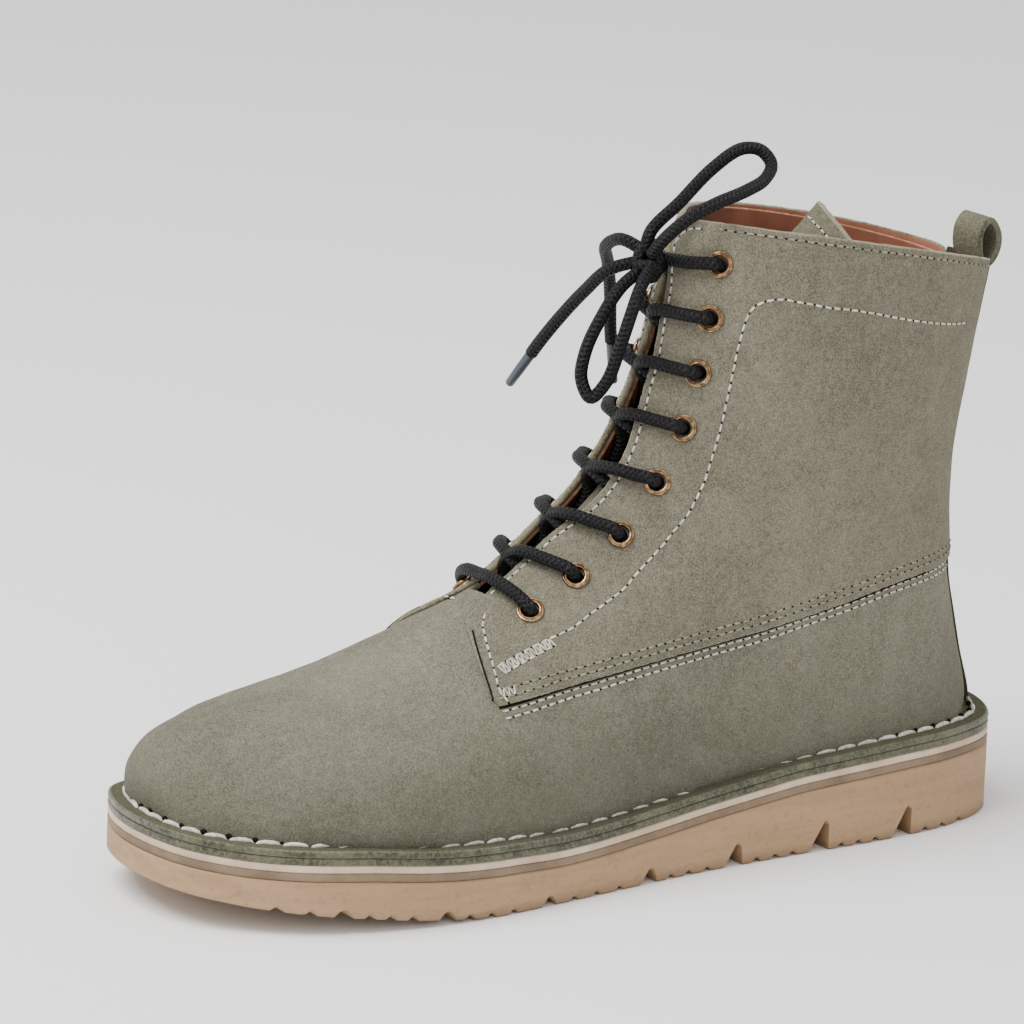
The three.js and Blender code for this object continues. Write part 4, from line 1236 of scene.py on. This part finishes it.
def tongue_patch():
    top = TONGUE_ROWS[-1, 0]
    sections = np.linspace(TONGUE_ROWS[0, 0], top, 150)
    reaches = np.linspace(-1, 1, 61)
    rows = []
    for section in sections:
        drop, lean, rise, wide = (float(along(TONGUE_ROWS, k, section)) for k in (1, 2, 3, 4))
        room = WALL + CLEARANCE + 0.3 + drop * TONGUE_LACE_ROOM
        move = np.array([0, lean * TONGUE_LEAN, rise * TONGUE_LEAN])
        line = []
        for reach in reaches:
            side = "medial" if reach < 0 else "lateral"
            turn = turn_at(section, side, abs(reach) * wide * TONGUE_WIDTH / 2)
            normal = outward(section, side, turn)
            point = surface(section, side, turn) - normal * room + move
            line.append(np.concatenate([point, normal, [section, reach]]))
        rows.append(flattened(np.array(line), section, reaches))
    values = np.array(rows)
    count = len(reaches)
    index = np.arange(len(sections) * count).reshape(len(sections), count)
    a, b, c, d = index[:-1, :-1], index[:-1, 1:], index[1:, 1:], index[1:, :-1]
    triangles = np.concatenate([np.stack([a, b, c], -1).reshape(-1, 3), np.stack([a, c, d], -1).reshape(-1, 3)])
    flat = values.reshape(-1, values.shape[2])
    corners = flat[triangles]
    facing = np.cross(corners[:, 1, :3] - corners[:, 0, :3], corners[:, 2, :3] - corners[:, 0, :3])
    if (facing * corners[:, 0, 3:6]).sum() < 0:
        triangles = triangles[:, ::-1]
    return values, (flat, triangles)


def tongue():
    grid, patch = tongue_patch()
    lift = 0.25 * waves(patch[0][:, :3], 30, 8)
    points, faces, kinds = shell(patch, lift, TONGUE_THICKNESS, 0.3, 0.12, 14)
    thing = make("tongue_flap", points, faces, [TONGUE_SUEDE, SUEDE_EDGE, LINING], kinds)
    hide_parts("tongue")
    return grid


def backstay(last):
    low = float(sole_top(HALF_LENGTH)) + FLANGE_THICKNESS + 2 * CLEARANCE
    patch = clip(last, lambda values: BACKSTAY_WIDTH / 2 + 2.4 - np.abs(values[:, 0]))
    patch = clip(patch, lambda values: values[:, 1] - HALF_LENGTH / 2)
    patch = clip(patch, lambda values: values[:, 2] - low)
    lift = OVERLAY + 2 * CLEARANCE + BACKSTAY_THICKNESS - 0.2 + relief(patch[0][:, :3])
    points, faces, kinds = shell(patch, lift, BACKSTAY_THICKNESS + 0.3, 0.3, 0.1, 15)
    # The strip's darker suede is painted shade.
    thing = make("backstay_strip", points, faces, [SHADED_STRIP_SUEDE, SHADED_STRIP_SUEDE, SHADED_STRIP_SUEDE], kinds)
    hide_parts("backstay")


def pull_loop():
    rim = surface(COLLAR, "lateral", 1.0)
    line = smooth_line([
        (0, rim[1] + 2 + deep * LOOP_DEPTH * 0.72, rim[2] + high * LOOP_HEIGHT * 0.96 - 3) for deep, high in PULL_LINE
    ], 0.8, closed=True)[:-1]
    half = LOOP_WIDTH * 0.34
    thick = LOOP_THICKNESS / 2
    section = [
        (-half + 0.3, -thick), (half - 0.3, -thick), (half, -thick + 0.4), (half, thick - 0.4),
        (half - 0.3, thick), (-half + 0.3, thick), (-half, thick - 0.4), (-half, -thick + 0.4),
    ]
    points, faces = [], []
    count = len(section)
    for i, p in enumerate(line):
        run = line[(i + 1) % len(line)] - line[i - 1]
        run /= np.linalg.norm(run)
        out = np.array([0, -run[2], run[1]])
        points += [p + np.array([x, 0, 0]) + out * t for x, t in section]
        for j in range(count):
            k = (j + 1) % count
            n = (i + 1) % len(line)
            faces.append((i * count + j, i * count + k, n * count + k, n * count + j))
    kinds = [0, 0, 1, 1, 0, 0, 1, 1]
    marks = [kinds[j] if j not in (2, 6) else 1 for _ in line for j in range(count)]
    thing = make("pull_loop_strap", points, faces, [TONGUE_SUEDE, WELT_EDGE], marks, 50)
    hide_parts("pull_loop")


def insole():
    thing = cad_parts["insole"]
    thing.data.materials.clear()
    thing.data.materials.append(LINING)


# Eyelets and lace
EYELET_PROFILE = [
    (2.7, -3.4), (3.0, -3.4), (3.0, 0.15), (4.15, 0.15), (4.2, 0.45), (4.0, 0.8), (3.75, 0.85), (3.55, 0.7),
    (3.35, 0.85), (3.05, 1.15), (2.8, 1.05), (2.7, 0.7),
]


def lathe(profile, place, normal, sides=28):
    """Ring of revolution about a direction: points, faces and coordinates."""
    spin = Vector((0, 0, 1)).rotation_difference(Vector(normal))
    points, faces = [], []
    count = len(profile)
    for i in range(sides):
        angle = 2 * math.pi * i / sides
        for radius, height in profile:
            p = spin @ Vector((radius * math.cos(angle), radius * math.sin(angle), height))
            points.append(np.array(p) + place)
        for j in range(count):
            k = (j + 1) % count
            n = (i + 1) % sides
            faces.append((i * count + j, n * count + j, n * count + k, i * count + k))
    return points, faces, [(0, 0)] * len(points)


def seat_of(number, side):
    """Centre of an eyelet on the facing's outer face, and its outward direction."""
    section, distance = SEATS[side][number]
    turn = turn_at(section, side, distance)
    normal = outward(section, side, turn)
    return surface(section, side, turn) + normal * OVERLAY, normal


def eyelets():
    rings = []
    names = []
    for side in SEATS:
        for number in range(len(EYELETS)):
            place, normal = seat_of(number, side)
            rings.append(lathe(EYELET_PROFILE, place, normal))
            names.append(f"eyelet_{side}_{number + 1}")
    points, faces, _ = joined(rings)
    thing = make("eyelet_rings", points, faces, [BRASS], None, 40)
    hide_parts(*names)


LACE_LIFT = OVERLAY + LACE_RADIUS + 4 * CLEARANCE


def strand(number, side):
    """Line of a lace out of its eyelet, over the facing's edge and down under the other facing."""
    place, normal = seat_of(number, side)
    section = EYELETS[number][0]
    below = EYELETS[number + 1][0]
    sign = 1 if side == "lateral" else -1
    own, far = (float(along(FACING_EDGES, key, section)) for key in ((1, 2) if sign > 0 else (2, 1)))
    gap = own + far

    def at(share):
        return section + (below - section) * share

    def over(share, distance, height):
        return across(at(share), sign * distance, height)

    inward = over(0.12, (own + EYELET_REACH) / 2, LACE_LIFT)
    towards = (inward - place) / np.linalg.norm(inward - place)
    return smooth_line([
        place - normal * 6.6 + towards * 0.3,
        place - normal * 2.6 + towards * 0.5,
        place + normal * 0.8 + towards * 0.9,
        place + normal * 2.4 + towards * 2.6,
        inward - normal * 0.4,
        over(0.22, own + 0.8, LACE_LIFT - 0.2),
        over(0.3, own - gap * 0.32, LACE_LIFT - 1.9),
        over(0.38, own - gap * 0.7, LACE_LIFT - 4.2),
        over(0.46, -far - 1.2, -2.6),
        over(0.6, -far - 4, -4.4),
        over(0.9, -EYELET_REACH * EYELETS[number + 1][1] + 3, -4.9),
    ], 0.55)


def crossings():
    for number in range(len(EYELETS) - 1):
        lines = [strand(number, side) for side in SEATS]
        points, faces, marks = joined([tube(line, LACE_RADIUS) for line in lines])
        thing = make(f"lace_row_{number + 1}", points, faces, [LACE], None, None, marks)
        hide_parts(f"lace_crossing_{number + 1}")


def lace_bar():
    number = len(EYELETS) - 1
    section = EYELETS[number][0]
    outer, inner = (float(along(FACING_EDGES, key, section)) for key in (1, 2))
    first, one = seat_of(number, "lateral")
    second, two = seat_of(number, "medial")
    line = smooth_line([
        first - one * 6.6,
        first - one * 2.6,
        first + one * 1.2,
        across(section, 15.5, LACE_LIFT - 0.3),
        across(section, 11, LACE_LIFT),
        across(section, outer, LACE_LIFT),
        across(section, -2, LACE_LIFT - 0.6),
        across(section, -inner, LACE_LIFT),
        across(section, -13, LACE_LIFT),
        across(section, -16, LACE_LIFT - 0.3),
        second + two * 1.2,
        second - two * 2.6,
        second - two * 6.6,
    ], 0.55)
    points, faces, marks = tube(line, LACE_RADIUS)
    thing = make("lace_front_bar", points, faces, [LACE], None, None, marks)
    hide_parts("lace_bar")


def wrap(tilt, turn, size):
    """Turn of lace round the knot: an ellipse through its widest places."""
    angles = np.linspace(0, 2 * math.pi, 49)
    line = []
    rotate = Matrix.Rotation(turn, 3, "Z") @ Matrix.Rotation(tilt, 3, "X")
    for angle in angles:
        p = rotate @ Vector((math.cos(angle), math.sin(angle), 0))
        line.append(np.array(KNOT) + np.array(p) * np.array(size))
    return np.array(line)


def knot():
    room = np.array(KNOT_SIZE) - LACE_RADIUS + 0.2
    lines = [
        wrap(math.radians(80), math.radians(70), room),
        wrap(math.radians(62), math.radians(20), room),
        wrap(math.radians(12), 0, room * 0.9),
    ]
    points, faces, marks = joined([tube(line, LACE_RADIUS) for line in lines])
    thing = make("lace_bow_knot", points, faces, [LACE], None, None, marks)
    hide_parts("lace_knot")
    return thing


def bow(centre):
    names = {"lace_end_medial": "aglet_medial", "lace_end_hidden": "aglet_hidden"}
    for name, route in BOW.items():
        line = smooth_line(route, 0.6)
        points, faces, marks = tube(line, LACE_RADIUS)
        thing = make(name + "_cord", points, faces, [LACE], None, None, marks)
        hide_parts(name)
        if name in names:
            run = np.array(route[-1], float) - np.array(route[-2], float)
            run /= np.linalg.norm(run)
            tip = aglet(names[name], np.array(route[-1]) + run * CLEARANCE, run)


def aglet(node_name, start, run):
    radius = AGLET_DIAMETER / 2
    shares = [0, 0.01, 0.03, 0.5, 0.93, 0.98, 1]
    sizes = [0.8, 0.97, 1, 0.98, 0.9, 0.72, 0.4]
    line = np.array([start + run * AGLET_LENGTH * share for share in shares])
    points, faces, marks = tube(line, np.array(sizes) * radius, 16)
    thing = make(node_name + "_tip", points, faces, [AGLET], None, 40, marks)
    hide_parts(node_name)
    return thing


# Stitches
def stitch(place, run, normal, length, radius, sunk=0.0):
    """One thread's stitch that dips into the surface at both ends, or a sunk mark between two that carries a hole's
    painted shade.
    """
    side = np.cross(normal, run)
    place = place - normal * sunk * radius
    points, faces = [], []
    stations = [(-0.5, 0.25, -0.7), (-0.4, 0.75, -0.1), (-0.15, 1, 0.2), (0.15, 1, 0.2), (0.4, 0.75, -0.1), (0.5, 0.25, -0.7)]
    sides = 6
    for share, size, rise in stations:
        centre = place + run * share * length + normal * rise * radius
        for j in range(sides):
            angle = 2 * math.pi * j / sides
            points.append(centre + (side * math.cos(angle) + normal * math.sin(angle)) * size * radius)
    for i in range(len(stations) - 1):
        for j in range(sides):
            k = (j + 1) % sides
            faces.append((i * sides + j, i * sides + k, (i + 1) * sides + k, (i + 1) * sides + j))
    faces.append(tuple(range(sides - 1, -1, -1)))
    faces.append(tuple((len(stations) - 1) * sides + j for j in range(sides)))
    return points, faces, [(0, 0)] * len(points)


def row_of_stitches(line, normals, pitch, length, radius, seed=0):
    """Stitches at even pitch along a line with its normals."""
    line, normals = np.array(line), np.array(normals)
    run = np.concatenate([[0], np.cumsum(np.linalg.norm(np.diff(line, axis=0), axis=1))])
    random = np.random.default_rng(seed)
    parts = []
    for mark in np.arange(pitch / 2, run[-1], pitch):
        place = np.array([np.interp(mark, run, line[:, k]) for k in range(3)])
        ahead = np.array([np.interp(mark + 0.4, run, line[:, k]) for k in range(3)])
        behind = np.array([np.interp(mark - 0.4, run, line[:, k]) for k in range(3)])
        normal = np.array([np.interp(mark, run, normals[:, k]) for k in range(3)])
        normal /= np.linalg.norm(normal)
        direction = ahead - behind
        direction -= normal * (direction @ normal)
        direction /= max(np.linalg.norm(direction), 1e-9)
        direction += np.cross(normal, direction) * random.uniform(-0.08, 0.08)
        thread_part = stitch(place, direction, normal, length * random.uniform(0.92, 1.05), radius)
        # Between two stitches a sunk capsule, later given the near-black painted shade of its needle hole.
        gap = place + direction * pitch / 2
        parts.append((thread_part, stitch(gap, direction, normal, pitch * 0.36, radius * 1.05, 0.6)))
    return parts


def tree_of(*things):
    """Search tree over meshes, in mm."""
    points, faces = [], []
    for thing in things:
        start = len(points)
        points += [v.co / MM for v in thing.data.vertices]
        faces += [tuple(i + start for i in p.vertices) for p in thing.data.polygons]
    return BVHTree.FromPolygons(points, faces)


def onto(tree, line, side, spacing=0.8):
    """Side-view line (y, z) laid on the outer surface: points and normals."""
    line = np.array(line, float)
    smooth = smooth_line(np.column_stack([np.zeros(len(line)), line]), spacing)
    sign = 1 if side == "lateral" else -1
    points, normals = [], []
    for _, y, z in smooth:
        hit, normal, _, _ = tree.ray_cast(Vector((sign * 90, y, z)), Vector((-sign, 0, 0)))
        if hit is None:
            continue
        points.append(np.array(hit))
        normals.append(np.array(normal) * (1 if normal.x * sign > 0 else -1))
    return points, normals


def moved_line(line, distance):
    """Side-view line moved up across its own direction."""
    line = np.array(line, float)
    run = np.gradient(line, axis=0)
    run /= np.linalg.norm(run, axis=1, keepdims=True)
    return line + np.stack([-run[:, 1], run[:, 0]], -1) * distance


INNER_LINE = [
    (-45.9, 69.5), (-38.5, 72.3), (-31.5, 74.8), (-27.7, 76.1), (-20.3, 78.7), (-14.2, 82.1), (-8.6, 84.8),
    (-2, 88.4), (4.8, 93.7), (12, 99.4), (16.5, 103.8), (20.2, 107.4), (22.7, 110.7), (26.7, 117.4),
    (31, 129), (33.9, 141), (35.5, 148.1), (37, 156), (38.5, 161.5), (40.1, 167), (42.2, 170.6), (45.8, 172.5),
    (49.4, 172.9), (56.2, 171.8), (63.6, 170.2), (71.4, 169), (80.9, 167), (90.2, 164.7), (100.2, 162.5),
    (112.7, 160.1), (121.7, 158.9),
]
TAB_ROW = [
    (-40.4, 81.4), (-43.2, 78.7), (-45, 75.6), (-46.3, 72.4), (-47.1, 69.5), (-48, 66), (-48.2, 63.5),
    (-47.3, 61.3),
]
CORNER_ROW = [(19.1, -2.6), (19.35, -2.3), (19.6, -0.8), (19.74, 2), (19.78, 6)]
STITCH_PITCH = 3.1
STITCH_LENGTH = 2.5
STITCH_RADIUS = 0.34


def on_face(section, distance):
    """Point and normal on a facing's outer face at a signed distance from the ridge."""
    side = "lateral" if distance >= 0 else "medial"
    turn = turn_at(section, side, abs(distance))
    normal = outward(section, side, turn)
    point = surface(section, side, turn)
    return point + normal * (OVERLAY + relief(point[None])[0]), normal


def facing_line(side, distance, first, end):
    """Line at a distance from the throat's edge on the outer face of a facing."""
    key, sign = (1, 1) if side == "lateral" else (2, -1)
    placed = [
        on_face(section, sign * (float(along(FACING_EDGES, key, section)) + distance))
        for section in np.linspace(first, end, 160)
    ]
    if side == "lateral":
        placed += [on_face(*row) for row in CORNER_ROW]
    points, normals = zip(*placed)
    return np.array(points), np.array(normals)


def collar_line(side, drop):
    """Line under the collar's edge on the outer face, a distance below it."""
    points, normals = [], []
    for turn in np.linspace(0.1, 0.985, 140):
        spacing = np.linalg.norm(surface(COLLAR, side, turn) - surface(COLLAR - 1, side, turn))
        section = COLLAR - drop / spacing
        normal = outward(section, side, turn)
        point = surface(section, side, turn)
        points.append(point + normal * (OVERLAY + relief(point[None])[0]))
        normals.append(normal)
    return points, normals


def zigzag(line, first, second):
    """Thread to and fro between two distances from a side-view line."""
    fine = even(np.array(line, float), 0.85)
    run = np.gradient(fine, axis=0)
    run /= np.linalg.norm(run, axis=1, keepdims=True)
    reach = np.where(np.arange(len(fine)) % 2 == 0, first, second)
    return fine + np.stack([-run[:, 1], run[:, 0]], -1) * reach[:, None]


CORNER_TACK = [(-48.6, 63), (-43.5, 63.6)]


def seams(tree, grid):
    pale, grey = [], []
    for side in ("lateral", "medial"):
        rows = [
            (LOWER_EDGE, 2.3, grey), (LOWER_EDGE, 4.3, grey), (LOWER_EDGE, -1.4, pale), (LOWER_EDGE, -3.3, pale),
            (INNER_LINE, 0, pale), (INNER_LINE[:4], -2, pale), (TAB_ROW, 0, pale),
        ]
        for number, (line, distance, group) in enumerate(rows):
            placed = onto(tree, moved_line(line, distance), side)
            if len(placed[0]) > 2:
                group += row_of_stitches(*placed, STITCH_PITCH, STITCH_LENGTH, STITCH_RADIUS, number)
        pale += row_of_stitches(*facing_line(side, 2.3, THROAT_START, 19), STITCH_PITCH, STITCH_LENGTH, STITCH_RADIUS)
        grey += row_of_stitches(*collar_line(side, 1.7), STITCH_PITCH, STITCH_LENGTH, STITCH_RADIUS)
    rows, columns = grid.shape[:2]
    line = [grid[rows - 4, c, :3] + grid[rows - 4, c, 3:6] * 0.15 for c in range(2, columns - 2)]
    normals = [grid[rows - 4, c, 3:6] for c in range(2, columns - 2)]
    pale += row_of_stitches(line, normals, STITCH_PITCH, STITCH_LENGTH, STITCH_RADIUS)
    for name, parts, material in (("pale_stitches", pale, PALE_THREAD), ("grey_stitches", grey, GREY_THREAD)):
        points, faces, _ = joined([part for part, _ in parts])
        make(name, points, faces, [material])
        # The needle holes are painted shade: near-black capsules between the stitches.
        points, faces, _ = joined([hole for _, hole in parts])
        make(name.replace("stitches", "needle_hole_shade"), points, faces, [HOLE_SHADE])
    tacks, edge_shadows = [], []
    for side in ("lateral", "medial"):
        tacks.append(tube(onto(tree, zigzag(INNER_LINE[:4], 0.1, -2.1), side, 0.5)[0], 0.26, 6))
        tacks.append(tube(onto(tree, zigzag(CORNER_TACK, 1, -1), side, 0.5)[0], 0.26, 6))
        # Painted shadow: thin near-black tubes just under the quarter's lower edge and tab edge, where the quarter
        # casts shadow on the vamp.
        edge_shadows.append(tube(onto(tree, moved_line(LOWER_EDGE, -0.45), side)[0], 0.4, 8))
        edge_shadows.append(tube(onto(tree, moved_line(TAB_EDGE[4:], -0.45), side)[0], 0.3, 8))
    for name, parts, material in (("bar_tacks", tacks, PALE_THREAD), ("seam_edge_shadows", edge_shadows, HOLE_SHADE)):
        points, faces, _ = joined(parts)
        make(name, points, faces, [material])


WELT_PITCH = 8
WELT_INSET = 5.1
PIT_SIDE = 1


def welt_seam():
    """Heavy stitches along the flange, and near-black marks between them that paint the shade in the pits there."""
    line = ring(even_rows(1.0), WELT_INSET, lambda y: sole_top(y) + CLEARANCE + FLANGE_THICKNESS + 0.35)
    line = np.vstack([line, line[:1]])
    keep = np.concatenate([[True], np.linalg.norm(np.diff(line, axis=0), axis=1) > 1e-6])
    line = even(line[keep], 0.8)
    up = np.array([0, 0, 1.0])
    parts = row_of_stitches(line, np.tile(up, (len(line), 1)), WELT_PITCH, 7.6, 0.78, 4)
    points, faces, _ = joined([part for part, _ in parts])
    make("welt_stitches", points, faces, [PALE_THREAD])
    run = np.concatenate([[0], np.cumsum(np.linalg.norm(np.diff(line, axis=0), axis=1))])
    # Painted shade: near-black capsules at the pits between the welt stitches.
    pits = []
    for mark in np.arange(WELT_PITCH, run[-1], WELT_PITCH):
        place = np.array([np.interp(mark, run, line[:, k]) for k in range(3)])
        ahead = np.array([np.interp(mark + 1, run, line[:, k]) for k in range(3)]) - place
        ahead[2] = 0
        ahead /= np.linalg.norm(ahead)
        pits.append(stitch(place - np.cross(ahead, up) * PIT_SIDE * 0.9 + up * 0.2, ahead, up, 2.2, 0.8))
    points, faces, _ = joined(pits)
    make("welt_pit_shade", points, faces, [HOLE_SHADE])


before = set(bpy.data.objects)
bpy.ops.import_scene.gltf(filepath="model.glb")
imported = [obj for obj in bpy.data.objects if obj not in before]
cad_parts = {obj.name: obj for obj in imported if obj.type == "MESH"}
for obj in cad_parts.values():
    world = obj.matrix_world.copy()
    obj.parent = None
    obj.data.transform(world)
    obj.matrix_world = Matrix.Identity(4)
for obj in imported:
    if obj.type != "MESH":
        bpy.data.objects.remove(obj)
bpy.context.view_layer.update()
camera()
floor()
lights()
last = last_patch()
lower = vamp(last)
top = quarter(last)
inside = lining(last)
edge = flange()
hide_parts("upper")
soles()
tongue_grid = tongue()
backstay(last)
pull_loop()
insole()
eyelets()
crossings()
lace_bar()
bow(knot())
seams(tree_of(lower, top), tongue_grid)
welt_seam()
